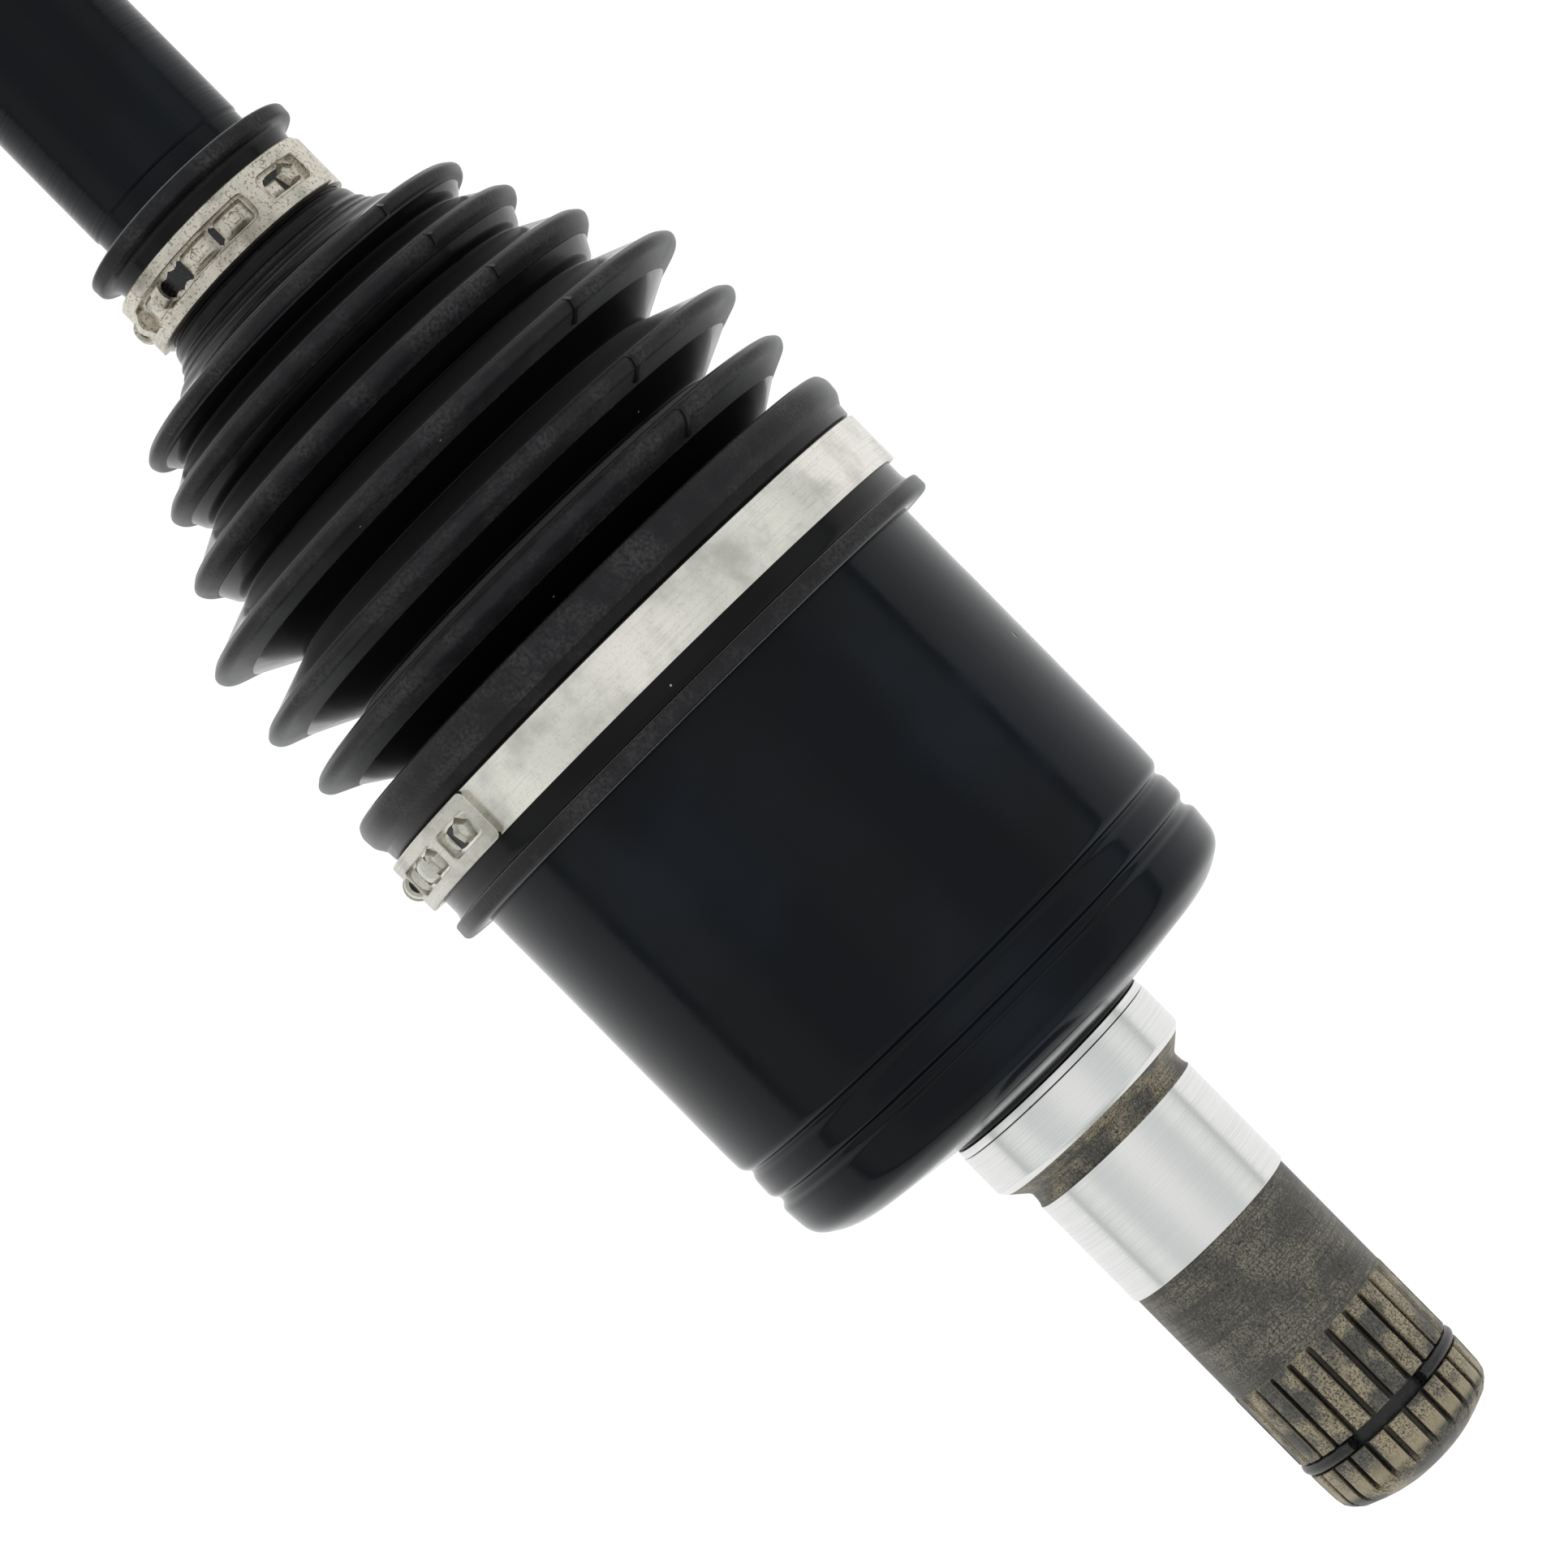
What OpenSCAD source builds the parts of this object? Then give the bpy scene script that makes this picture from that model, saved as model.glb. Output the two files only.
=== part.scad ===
// Half shaft with a plunging inboard joint and a fixed outboard joint.
// The axle lies along X. The origin is on its axis, at the inner end of the inboard bearing journal.
// The outboard end, which carries the wheel hub, points to +X.

/* [Overall] */
// Distance between the two joint centres
joint_span = 402; // [340:1:520]
// Distance from the bearing journal's inner end to the inboard joint centre
in_centre = 59.5; // [58:0.5:66]
// Number of balls in each joint
ball_count = 6; // [6:1:6]
// Diameter of every ball
ball_d = 15.875; // [15:0.005:17]

/* [Bar shaft] */
// Diameter of the bar
bar_d = 25; // [22:0.1:28]
// Diameter of the turned seats under the boots
bar_seat_d = 24.6; // [22:0.1:27]
// Diameter of the necks inside the boots
bar_neck_d = 20; // [18:0.1:22]
// Diameter over the shaft's spline teeth
bar_spline_d = 21; // [18:0.1:21.5]
// Number of teeth on the shaft's splines
bar_teeth = 20; // [12:1:30]
// Depth of the shaft's spline teeth
bar_tooth_h = 1; // [0.6:0.1:1.4]
// Wire diameter of the snap rings at the shaft's ends
snap_wire = 1.6; // [1:0.1:2]
// Thickness of the stop rings behind the inner races
stop_ring_t = 2; // [1:0.1:2.5]

/* [Inboard cup] */
// Outer diameter of the cup
cup_d = 75.3; // [75:0.1:84]
// Length of the cup from its back to its mouth
cup_len = 79; // [77:0.5:90]
// Diameter of the cup's bore that guides the cage
cup_bore_d = 59; // [58.5:0.1:60]
// Thickness of the cup's back wall
cup_base = 14; // [11:0.5:16]
// Wire diameter of the stopper ring in the cup's mouth
stopper_wire = 2; // [1.4:0.1:2.4]
// Distance from the mouth to the stopper ring
stopper_inset = 2.8; // [2.4:0.1:4]

/* [Inboard stub] */
// Length of the stub from the bearing journal's inner end to its tip
stub_len = 58.6; // [52:0.1:80]
// Diameter of the bearing journal
journal_d = 26.6; // [25:0.1:28]
// Length of the bearing journal
journal_len = 17.5; // [12:0.1:22]
// Length of the grinding undercut behind the bearing journal
undercut_len = 1.6; // [1:0.1:2.4]
// Diameter of the seal journal
seal_d = 32.2; // [29:0.1:36]
// Length of the seal journal
seal_len = 6.6; // [4:0.1:9]
// Step in radius from the bearing journal down to the spline's teeth
spline_step = 0.25; // [0.2:0.05:0.6]
// Length of the spline
spline_len = 23.2; // [18:0.1:30]
// Number of spline teeth
spline_teeth = 24; // [20:1:30]
// Depth of the spline teeth
spline_h = 1.1; // [0.8:0.1:1.4]
// Wire diameter of the circlip in the spline
circlip_wire = 1.9; // [1.4:0.1:2.2]
// Distance from the tip to the middle of the circlip
circlip_inset = 10; // [7:0.1:14]

/* [Joint internals] */
// Diameter of the circle through the inboard balls
in_pitch_d = 50; // [49.6:0.1:50.4]
// Diameter of the circle through the outboard balls
out_pitch_d = 54; // [53.6:0.1:54.4]
// Radial thickness of both cages
cage_t = 4; // [3.2:0.1:4.2]
// Width of the inboard cage along the axle
in_cage_w = 25; // [24:0.5:27]
// Width of the outboard cage along the axle
out_cage_w = 26; // [24:0.5:28]
// Width of both inner races
race_w = 22; // [20:0.5:23]
// Running gap between cage, race and housing
cage_gap = 0.2; // [0.1:0.05:0.3]
// Gap between an inboard ball and its grooves
in_groove_gap = 0.5; // [0.45:0.05:0.7]
// Gap between an outboard ball and its grooves
out_groove_gap = 0.95; // [0.9:0.05:1.1]

/* [Outboard bell] */
// Outer diameter of the bell
bell_d = 79; // [78.4:0.1:84]
// Distance from the joint centre to the bell's mouth
bell_mouth = 17; // [16:0.5:18]
// Distance from the joint centre to the bell's shoulder
bell_back = 38; // [36:0.5:42]
// Inside diameter of the mouth's flared edge
bell_flare_d = 63; // [62:0.1:65]

/* [Outboard stub] */
// Diameter of the hub bearing journal
hub_journal_d = 30; // [28:0.1:34]
// Length of the hub bearing journal
hub_journal_len = 20; // [14:0.5:26]
// Diameter over the hub spline's teeth
hub_spline_d = 27; // [25:0.1:27.5]
// Length of the hub spline
hub_spline_len = 32; // [26:0.5:40]
// Diameter of the stub's thread
thread_d = 20; // [18:0.5:22]
// Length of the stub's thread
thread_len = 26; // [25:0.5:32]
// Width across the flats of the hub nut
nut_af = 30; // [28:1:34]
// Height of the hub nut with its castle slots
nut_h = 17; // [16:0.5:18]
// Depth of the castle slots
nut_slot = 6; // [5:0.5:7]
// Diameter of the cotter pin
cotter_d = 3.6; // [3:0.1:4]
// Diameter of the hub washer
washer_d = 38; // [36:0.5:42]
// Thickness of the hub washer
washer_t = 3; // [2:0.1:4]
// Diameter of the dust ring on the bell
dust_ring_d = 83; // [82:0.1:90]

/* [Boots] */
// Thickness of the boots where they grip
boot_seat_t = 2.5; // [2:0.1:3]
// Thickness of the folds at their crests
boot_crest_t = 4; // [3:0.1:4.5]
// Thickness of the folds at their valleys
boot_valley_t = 2.2; // [1.8:0.1:2.6]
// Width of the rounded crests
crest_w = 3; // [2:0.1:3.4]
// Height of the lips at the large ends, over the seat
large_lip_h = 1.5; // [1:0.1:2]
// Height of the lips at the small ends, over the seat
small_lip_h = 2.2; // [1.5:0.1:2.6]
// Length of the inboard boot
in_boot_len = 94.7; // [88:0.1:120]
// Crest diameters of the inboard boot, from its small end
in_crest_d = [56, 62, 71, 83, 84, 84]; // [50:0.5:90]
// Valley diameters of the inboard boot, from its small end
in_valley_d = [48.5, 54, 61.5, 61.5, 61.5, 62.5]; // [44:0.5:64]
// Places of the inboard crests, as shares of the folded length from the small end
in_crest_at = [0.08, 0.2, 0.36, 0.54, 0.725, 0.885]; // [0.02:0.005:0.95]
// Places of the inboard valleys, as shares of the folded length from the small end
in_valley_at = [0.135, 0.28, 0.45, 0.64, 0.825, 0.99]; // [0.05:0.005:1]
// Crest diameters of the outboard boot, from its small end
out_crest_d = [52, 61, 70, 79, 86]; // [46:0.5:90]
// Valley diameters of the outboard boot, from its small end
out_valley_d = [40, 46, 53, 60, 67]; // [36:0.5:70]
// Places of the outboard crests, as shares of the folded length from the small end
out_crest_at = [0.1, 0.3, 0.5, 0.7, 0.9]; // [0.02:0.005:0.95]
// Places of the outboard valleys, as shares of the folded length from the small end
out_valley_at = [0.2, 0.4, 0.6, 0.8, 1]; // [0.05:0.005:1]
// Length of the outboard boot
out_boot_len = 92; // [88:0.5:110]
// Clearance between a boot and what it seats on
boot_gap = 0.12; // [0.1:0.01:0.2]

/* [Clamps] */
// Thickness of the clamp bands
band_t = 0.9; // [0.6:0.1:1]
// Width of the large clamp bands
large_band_w = 7.6; // [6:0.1:9]
// Width of the small clamp bands
small_band_w = 7.9; // [6:0.1:9]
// Length of the overlapping end of a large band
large_overlap = 36; // [30:1:44]
// Length of the overlapping end of a small band
small_overlap = 42; // [36:1:46]
// Angle of the clamps' folded loops, from straight down
loop_deg = 91; // [60:1:120]
// Width of the windows in a band's overlapping end
window_w = 3.8; // [3:0.1:4.4]

/* [Hidden] */
$fn = 96;
eps = 0.01;
out_centre = in_centre + joint_span;
ball_r = ball_d / 2;
fit_gap = 0.05;

// inboard cup and stub, along X
seat_chamfer = (seal_d - journal_d) / 2 + 0.1;
seal_start = undercut_len + seat_chamfer;
seal_end = seal_start + seal_len;
relief_len = 1.5;
cup_back = seal_end + relief_len + 1;
cup_mouth = cup_back + cup_len;
cup_floor = cup_back + cup_base;
cup_r = cup_d / 2;
cup_bore_r = cup_bore_d / 2;
stopper_x = cup_mouth - stopper_inset;
stopper_groove_r = cup_bore_r + stopper_wire * 0.6;
stub_tip = -stub_len;
spline_x1 = stub_tip + spline_len;
circlip_x = stub_tip + circlip_inset;
spline_d = journal_d - 2 * spline_step;
core_step = 0.5;
circlip_r = journal_d / 2 - fit_gap - circlip_wire / 2;
circlip_root_r = circlip_r - circlip_wire / 2 - fit_gap;
circlip_gap_deg = 60;
circlip_gap_at = 180;

// inboard joint
in_pitch_r = in_pitch_d / 2;
in_cage_r = cup_bore_r - cage_gap;
in_cage_bore_r = in_cage_r - cage_t;
in_race_r = in_cage_bore_r - cage_gap;
in_groove_r = ball_r + in_groove_gap;

// outboard joint
out_pitch_r = out_pitch_d / 2;
out_cage_r = out_pitch_r + 3.4;
bell_bore_r = out_cage_r + cage_gap;
out_cage_bore_r = out_cage_r - cage_t;
out_race_r = out_cage_bore_r - cage_gap;
out_groove_r = ball_r + out_groove_gap;
bell_r = bell_d / 2;
bell_x0 = out_centre - bell_mouth;
bell_x1 = out_centre + bell_back;
bell_neck_depth = 4;

// outboard stub, along X
collar_r = 22;
collar_len = 3;
hub_shoulder = bell_x1 + collar_len;
hub_journal_end = hub_shoulder + hub_journal_len;
hub_spline_end = hub_journal_end + hub_spline_len;
thread_end = hub_spline_end + thread_len;
washer_x = hub_spline_end + fit_gap;
nut_x = washer_x + washer_t + fit_gap;
cotter_x = nut_x + nut_h - nut_slot / 2;
thread_r = thread_d / 2;

// bar shaft, along X
bar_end_gap = race_w / 2 + snap_wire + 1.6;
bar_x0 = in_centre - bar_end_gap;
bar_x1 = out_centre + bar_end_gap;
bar_spline_r = bar_spline_d / 2;
bar_neck_r = bar_neck_d / 2;
bar_seat_r = bar_seat_d / 2;
bar_core_r = bar_spline_r - bar_tooth_h - 0.4;
bar_tooth_end = bar_end_gap + race_w / 2 + stop_ring_t + 2;
stop_groove_r = bar_spline_r - 1.2;

// boots, along X
boot_overlap = 16.4;
in_boot_x0 = cup_mouth - boot_overlap;
in_boot_x1 = in_boot_x0 + in_boot_len;
out_boot_x1 = bell_x0 + boot_overlap + 0.6;
out_boot_x0 = out_boot_x1 - out_boot_len;
small_seat_r = bar_seat_r + boot_gap;
small_band_r = small_seat_r + boot_seat_t - 0.4;
large_lip_w = 2.4;
small_lip_w = 2.6;
large_band_x = 5.8;
small_band_x = 5.4;
band_gap = 0.1;
shoulder_w = 8;

// ---------- shared shapes ----------

// Turns a shape drawn along Z so that it lies along X
module along_x() {
    rotate([0, 90, 0]) children();
}

// A solid of revolution about X. Each point is [x, radius]
module turned(points) {
    along_x() rotate_extrude() polygon([for (p = points) [p[1], p[0]]]);
}

// Turns a 2D shape drawn with X along the axle and Y as the radius
module turned_shape() {
    along_x() rotate_extrude() intersection() {
        mirror([1, -1, 0]) children();
        translate([0, -1000]) square([1000, 2000]);
    }
}

// A round wire ring about X, with a gap that opens towards angle gap_at
module wire_ring(x, r, wire, gap_deg = 24, gap_at = 0) {
    translate([x, 0, 0])
        rotate([gap_at + gap_deg / 2, 0, 0])
            along_x() rotate_extrude(angle = 360 - gap_deg) translate([r, 0]) circle(d = wire, $fn = 24);
}

// Repeats a shape around X, once for each ball
module each_ball() {
    for (i = [0:ball_count - 1])
        rotate([360 * i / ball_count, 0, 0]) children();
}

// The outline of a spline, seen along the axle
module spline_outline(r_tip, r_root, teeth, grow = 0) {
    pitch = 360 / teeth;
    polygon([
        for (i = [0:teeth - 1])
            for (corner = [[r_root, -0.34], [r_tip, -0.22], [r_tip, 0.22], [r_root, 0.34]])
                let (a = (i + corner[1]) * pitch, r = corner[0] + grow)
                    [r * cos(a), r * sin(a)]
    ]);
}

// A splined length of shaft from x0 to x1
module splined(x0, x1, r_tip, r_root, teeth, grow = 0) {
    translate([x0, 0, 0]) along_x() linear_extrude(x1 - x0)
        spline_outline(r_tip, r_root, teeth, grow);
}

// The shaft's splines, which the inner races share with a gap
module bar_splines(x0, x1, grow = 0) {
    splined(x0, x1, bar_spline_r, bar_spline_r - bar_tooth_h, bar_teeth, grow);
}

// ---------- bar shaft ----------

// Outline of one end of the bar, from the shaft's end at x = 0 to the plain bar
function bar_end(seat_x) = [
    [0, bar_core_r - 0.8],
    [0.8, bar_core_r],
    [bar_tooth_end, bar_core_r],
    [bar_tooth_end, bar_neck_r],
    [seat_x, bar_neck_r],
    [seat_x + 3, bar_seat_r]
];

in_seat_x = in_boot_x1 - bar_x0 - 22;
in_bar_x = in_boot_x1 + 3;
out_seat_x = bar_x1 - out_boot_x0 - 22;
out_bar_x = out_boot_x0 - 3;

module bar_shaft() {
    left = [for (p = bar_end(in_seat_x)) [bar_x0 + p[0], p[1]]];
    right = [for (i = [5:-1:0]) let (p = bar_end(out_seat_x)[i]) [bar_x1 - p[0], p[1]]];
    color("#17181a") difference() {
        union() {
            turned(concat(
                [[bar_x0, 0]], left,
                [[in_bar_x, bar_seat_r], [in_bar_x + 0.4, bar_d / 2],
                 [out_bar_x - 0.4, bar_d / 2], [out_bar_x, bar_seat_r]],
                right, [[bar_x1, 0]]
            ));
            bar_splines(bar_x0 + 0.8, bar_x0 + bar_tooth_end);
            bar_splines(bar_x1 - bar_tooth_end, bar_x1 - 0.8);
        }
        for (x = [in_snap_x, out_snap_x])
            ring_groove(x, stop_groove_r, bar_spline_r, snap_wire + 2 * fit_gap);
        for (x = [in_stop_x, out_stop_x])
            ring_groove(x, stop_groove_r, bar_spline_r, stop_ring_t + 2 * fit_gap);
    }
}

in_snap_x = in_centre - race_w / 2 - snap_wire / 2 - fit_gap;
out_snap_x = out_centre + race_w / 2 + snap_wire / 2 + fit_gap;
in_stop_x = in_centre + race_w / 2 + stop_ring_t / 2 + fit_gap;
out_stop_x = out_centre - race_w / 2 - stop_ring_t / 2 - fit_gap;

// A square groove centred on x, cut from r_out down to r_in, with a run past r_out
module ring_groove(x, r_in, r_out, w, run = 1) {
    turned([[x - w / 2, r_in], [x + w / 2, r_in], [x + w / 2, r_out + run], [x - w / 2, r_out + run]]);
}

// A flat retaining ring with a gap, centred on x
module flat_ring(x, r_in, r_out, t, gap_deg = 30) {
    translate([x - t / 2, 0, 0]) along_x() rotate([0, 0, gap_deg / 2])
        rotate_extrude(angle = 360 - gap_deg)
            translate([r_in, 0]) square([r_out - r_in, t]);
}

module inboard_race_snap_ring() {
    color("#4a4c4e") wire_ring(in_snap_x, stop_groove_r + snap_wire / 2 + fit_gap, snap_wire);
}

module outboard_race_snap_ring() {
    color("#4a4c4e") wire_ring(out_snap_x, stop_groove_r + snap_wire / 2 + fit_gap, snap_wire);
}

module inboard_race_stop_ring() {
    color("#4a4c4e") flat_ring(in_stop_x, stop_groove_r + fit_gap, bar_spline_r + 2.5, stop_ring_t);
}

module outboard_race_stop_ring() {
    color("#4a4c4e") flat_ring(out_stop_x, stop_groove_r + fit_gap, bar_spline_r + 2.5, stop_ring_t);
}

// ---------- balls, cages and inner races ----------

module ball(centre, pitch_r, i) {
    color("#b9bcc0") translate([centre, 0, 0]) rotate([360 * (i - 1) / ball_count, 0, 0])
        translate([0, 0, pitch_r]) sphere(r = ball_r);
}

// A cage is the shell between two spheres, cut to its width, with a window for each ball
module cage(centre, r_out, r_in, w) {
    window_x = ball_d + 2 * fit_gap;
    window_y = ball_d + 2.4;
    corner_r = 3;
    color("#6f7276") translate([centre, 0, 0]) difference() {
        turned_shape() difference() {
            intersection() {
                circle(r = r_out);
                square([w, 4 * r_out], center = true);
            }
            circle(r = r_in);
        }
        each_ball() translate([0, 0, r_in / 2]) linear_extrude(r_out) {
            square([window_x - 2 * corner_r, window_y], center = true);
            square([window_x, window_y - 2 * corner_r], center = true);
            for (sx = [-1, 1], sy = [-1, 1])
                translate([sx * (window_x / 2 - corner_r), sy * (window_y / 2 - corner_r)])
                    circle(r = corner_r);
        }
    }
}

// The inner race is a ball-shaped ring with a splined bore. Its grooves are passed as children
module inner_race(centre, r_out) {
    color("#8d9094") translate([centre, 0, 0]) difference() {
        turned_shape() intersection() {
            circle(r = r_out);
            square([race_w, 4 * r_out], center = true);
        }
        bar_splines(-race_w / 2 - 1, race_w / 2 + 1, fit_gap);
        children();
    }
}

// Straight groove for a ball that rolls along X
module straight_groove(pitch_r, r, x0, x1) {
    translate([x0, 0, pitch_r]) along_x() cylinder(r = r, h = x1 - x0);
}

// Curved groove for a ball that swings about the joint centre
module curved_groove(pitch_r, r, from_deg, to_deg) {
    rotate([90, 0, 0]) rotate([0, 0, from_deg])
        rotate_extrude(angle = to_deg - from_deg) translate([pitch_r, 0]) circle(r = r, $fn = 48);
}

module inboard_cage() {
    cage(in_centre, in_cage_r, in_cage_bore_r, in_cage_w);
}

module outboard_cage() {
    cage(out_centre, out_cage_r, out_cage_bore_r, out_cage_w);
}

module inboard_inner_race() {
    inner_race(in_centre, in_race_r)
        each_ball() straight_groove(in_pitch_r, in_groove_r, -race_w / 2 - 1, race_w / 2 + 1);
}

module outboard_inner_race() {
    inner_race(out_centre, out_race_r)
        each_ball() curved_groove(out_pitch_r, out_groove_r, 52, 128);
}

// ---------- inboard cup with its stub ----------

module inboard_outer_race() {
    r_root = spline_d / 2 - spline_h;
    core_r = r_root - core_step;
    corner = 2.2;
    groove_x = cup_back + 10.4;
    color("#1b1b1f") difference() {
        union() {
            turned([
                [stub_tip, 0], [stub_tip, core_r - 2], [stub_tip + 2, core_r], [spline_x1, core_r],
                [spline_x1, journal_d / 2 - 0.35],
                [-journal_len, journal_d / 2 - 0.35], [-journal_len, journal_d / 2],
                [0, journal_d / 2], [0.3, journal_d / 2 - 0.5], [undercut_len - 0.3, journal_d / 2 - 0.5],
                [undercut_len, journal_d / 2 - 0.1], [seal_start, seal_d / 2], [seal_end, seal_d / 2],
                [seal_end, seal_d / 2 - 0.5], [seal_end + relief_len, seal_d / 2 - 0.5],
                [seal_end + relief_len, seal_d / 2 + 4], [cup_back, cup_r - 12],
                [cup_back + 1, cup_r - 6], [cup_back + corner, cup_r - 3], [cup_back + 4, cup_r - 1.2],
                [cup_back + 6.2, cup_r - 0.6], [groove_x - 1.2, cup_r - 0.5], [groove_x, cup_r - 0.9],
                [groove_x + 1.2, cup_r - 0.5], [groove_x + 4.6, cup_r - 0.5], [groove_x + 5.6, cup_r],
                [cup_mouth - 1, cup_r], [cup_mouth, cup_r - 1], [cup_mouth, 0]
            ]);
            splined(stub_tip + 2, spline_x1, spline_d / 2, r_root, spline_teeth);
        }
        // bore, grease pocket and mouth
        turned([
            [cup_floor - 3, 0], [cup_floor - 3, 12], [cup_floor, 16], [cup_floor, cup_bore_r - 2],
            [cup_floor + 2, cup_bore_r], [cup_mouth - 1.4, cup_bore_r], [cup_mouth, cup_bore_r + 1.4],
            [cup_mouth + 1, cup_bore_r + 1.4], [cup_mouth + 1, 0]
        ]);
        each_ball() straight_groove(in_pitch_r, in_groove_r, cup_floor + 3, cup_mouth + 2);
        ring_groove(circlip_x, circlip_root_r, spline_d / 2, circlip_wire + 0.3);
        ring_groove(stopper_x, 0, stopper_groove_r, stopper_wire + 2 * fit_gap, 0);
        // centre drilling in the tip
        turned([
            [stub_tip - 1, 0], [stub_tip - 1, 4], [stub_tip, 3.4], [stub_tip + 5, 1.2],
            [stub_tip + 9, 1.2], [stub_tip + 9.6, 0]
        ]);
    }
}

module inboard_stub_circlip() {
    color("#1c1d1e") wire_ring(circlip_x, circlip_r, circlip_wire, circlip_gap_deg, circlip_gap_at);
}

module inboard_stopper_ring() {
    color("#8d9094") wire_ring(stopper_x, cup_bore_r + stopper_wire * 0.1 - fit_gap, stopper_wire, 14, 30);
}

// ---------- outboard bell with its stub ----------

module outboard_outer_race() {
    spline_r = hub_spline_d / 2;
    core_r = spline_r - spline_h - core_step;
    thread_root = thread_r - 0.9;
    color("#1b1b1f") difference() {
        union() {
            turned_shape() difference() {
                polygon([
                    [bell_x0, 0], [bell_x0, bell_r - 1], [bell_x0 + 1, bell_r], [out_centre + 6, bell_r],
                    [out_centre + 20, bell_r - 2.5], [bell_x1 - 10, bell_r - 6],
                    [bell_x1 - 3.4, bell_r - 12],
                    [bell_x1 - 1, bell_r - 15], [bell_x1, collar_r + 1], [bell_x1, collar_r],
                    [hub_shoulder, collar_r - 0.6], [hub_shoulder, hub_journal_d / 2],
                    [hub_journal_end, hub_journal_d / 2], [hub_journal_end, core_r],
                    [hub_spline_end, core_r],
                    [hub_spline_end, thread_root], [hub_spline_end + 2, thread_root],
                    [hub_spline_end + 3, thread_r], [thread_end - 1.4, thread_r],
                    [thread_end, thread_r - 1.4], [thread_end, 3.4], [thread_end - 4, 1.2],
                    [thread_end - 4.6, 0]
                ]);
                translate([out_centre, 0]) circle(r = bell_bore_r);
                polygon([
                    [bell_x0 - 1, 0], [bell_x0 - 1, bell_flare_d / 2 + 0.4],
                    [bell_x0 + bell_neck_depth, bell_throat_r], [bell_x0 + bell_neck_depth + 1, 0]
                ]);
            }
            splined(hub_journal_end, hub_spline_end, spline_r, spline_r - spline_h, spline_teeth);
        }
        translate([out_centre, 0, 0]) each_ball() curved_groove(out_pitch_r, out_groove_r, 50, 136);
        translate([cotter_x, 0, 0]) rotate([90, 0, 0])
            cylinder(d = cotter_d + 0.5, h = thread_d + 2, center = true);
    }
}

bell_throat_r = sqrt(pow(bell_bore_r, 2) - pow(bell_mouth - bell_neck_depth, 2));

module outboard_dust_ring() {
    x0 = out_centre + 7;
    color("#3a3b3d") turned([
        [x0, bell_r + fit_gap], [x0, dust_ring_d / 2], [x0 + 1.2, dust_ring_d / 2],
        [x0 + 1.2, bell_r + 1], [x0 + 6, bell_r + 1], [x0 + 6, bell_r + fit_gap]
    ]);
}

module hub_washer() {
    color("#8d9094") turned([
        [washer_x, thread_r + 0.3], [washer_x, washer_d / 2], [washer_x + washer_t - 0.5, washer_d / 2],
        [washer_x + washer_t, washer_d / 2 - 0.5], [washer_x + washer_t, thread_r + 0.3]
    ]);
}

module hub_nut() {
    slots = 6;
    corner_r = nut_af / cos(30) / 2;
    castle_x = nut_x + nut_h - nut_slot;
    slot_w = cotter_d + 0.6;
    color("#a8a48c") difference() {
        intersection() {
            translate([nut_x, 0, 0]) along_x() cylinder(r = corner_r, h = nut_h, $fn = 6);
            turned([
                [nut_x, 0], [nut_x, nut_af / 2 - 0.2], [nut_x + 1.6, corner_r],
                [castle_x - 1.6, corner_r], [castle_x, nut_af / 2 - 1],
                [nut_x + nut_h, nut_af / 2 - 1], [nut_x + nut_h, 0]
            ]);
        }
        translate([nut_x - 1, 0, 0]) along_x() cylinder(r = thread_r + fit_gap, h = nut_h + 2);
        for (i = [0:slots - 1])
            rotate([30 + 360 * i / slots, 0, 0])
                translate([castle_x, -slot_w / 2, 0])
                    cube([nut_slot + 1, slot_w, nut_af]);
    }
}

// The pin's shank lies along Y. Its eye is on the -Y side and its two bent legs on the +Y side
module cotter_pin() {
    wire = cotter_d / 2;
    reach = nut_af / cos(30) / 2 + 1.5 * wire + 0.4;
    eye_r = 2.2;
    leg = 5.4;
    color("#b5b7ba") translate([cotter_x, 0, 0]) {
        rotate([90, 0, 0]) cylinder(d = cotter_d, h = 2 * reach, center = true, $fn = 32);
        translate([0, -reach - eye_r, 0]) rotate_extrude() translate([eye_r, 0]) circle(d = wire, $fn = 24);
        translate([-leg, reach - wire, 0]) along_x() cylinder(d = wire, h = 2 * leg, $fn = 24);
    }
}

// ---------- boots ----------

// Outer outline of the folds, between xs and xe. Each crest is rounded and each valley is narrow
function fold_outline(xs, xe, crest_d, crest_at, valley_d, valley_at) =
    [for (i = [0:len(crest_d) - 1]) each
        let (xc = xs + crest_at[i] * (xe - xs), rc = crest_d[i] / 2,
             xv = xs + valley_at[i] * (xe - xs), rv = valley_d[i] / 2, half = crest_w / 2)
        [[xc - half, rc - 1.4], [xc - half / 2, rc - 0.3], [xc, rc], [xc + half / 2, rc - 0.3],
         [xc + half, rc - 1.4], [xv - 0.3, rv], [xv + 0.3, rv]]
    ];

// Inner outline of the same folds
function fold_lining(xs, xe, crest_d, crest_at, valley_d, valley_at) =
    [for (i = [0:len(crest_d) - 1]) each
        [[xs + crest_at[i] * (xe - xs), crest_d[i] / 2 - boot_crest_t],
         [xs + valley_at[i] * (xe - xs), valley_d[i] / 2 - boot_valley_t]]
    ];

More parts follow.
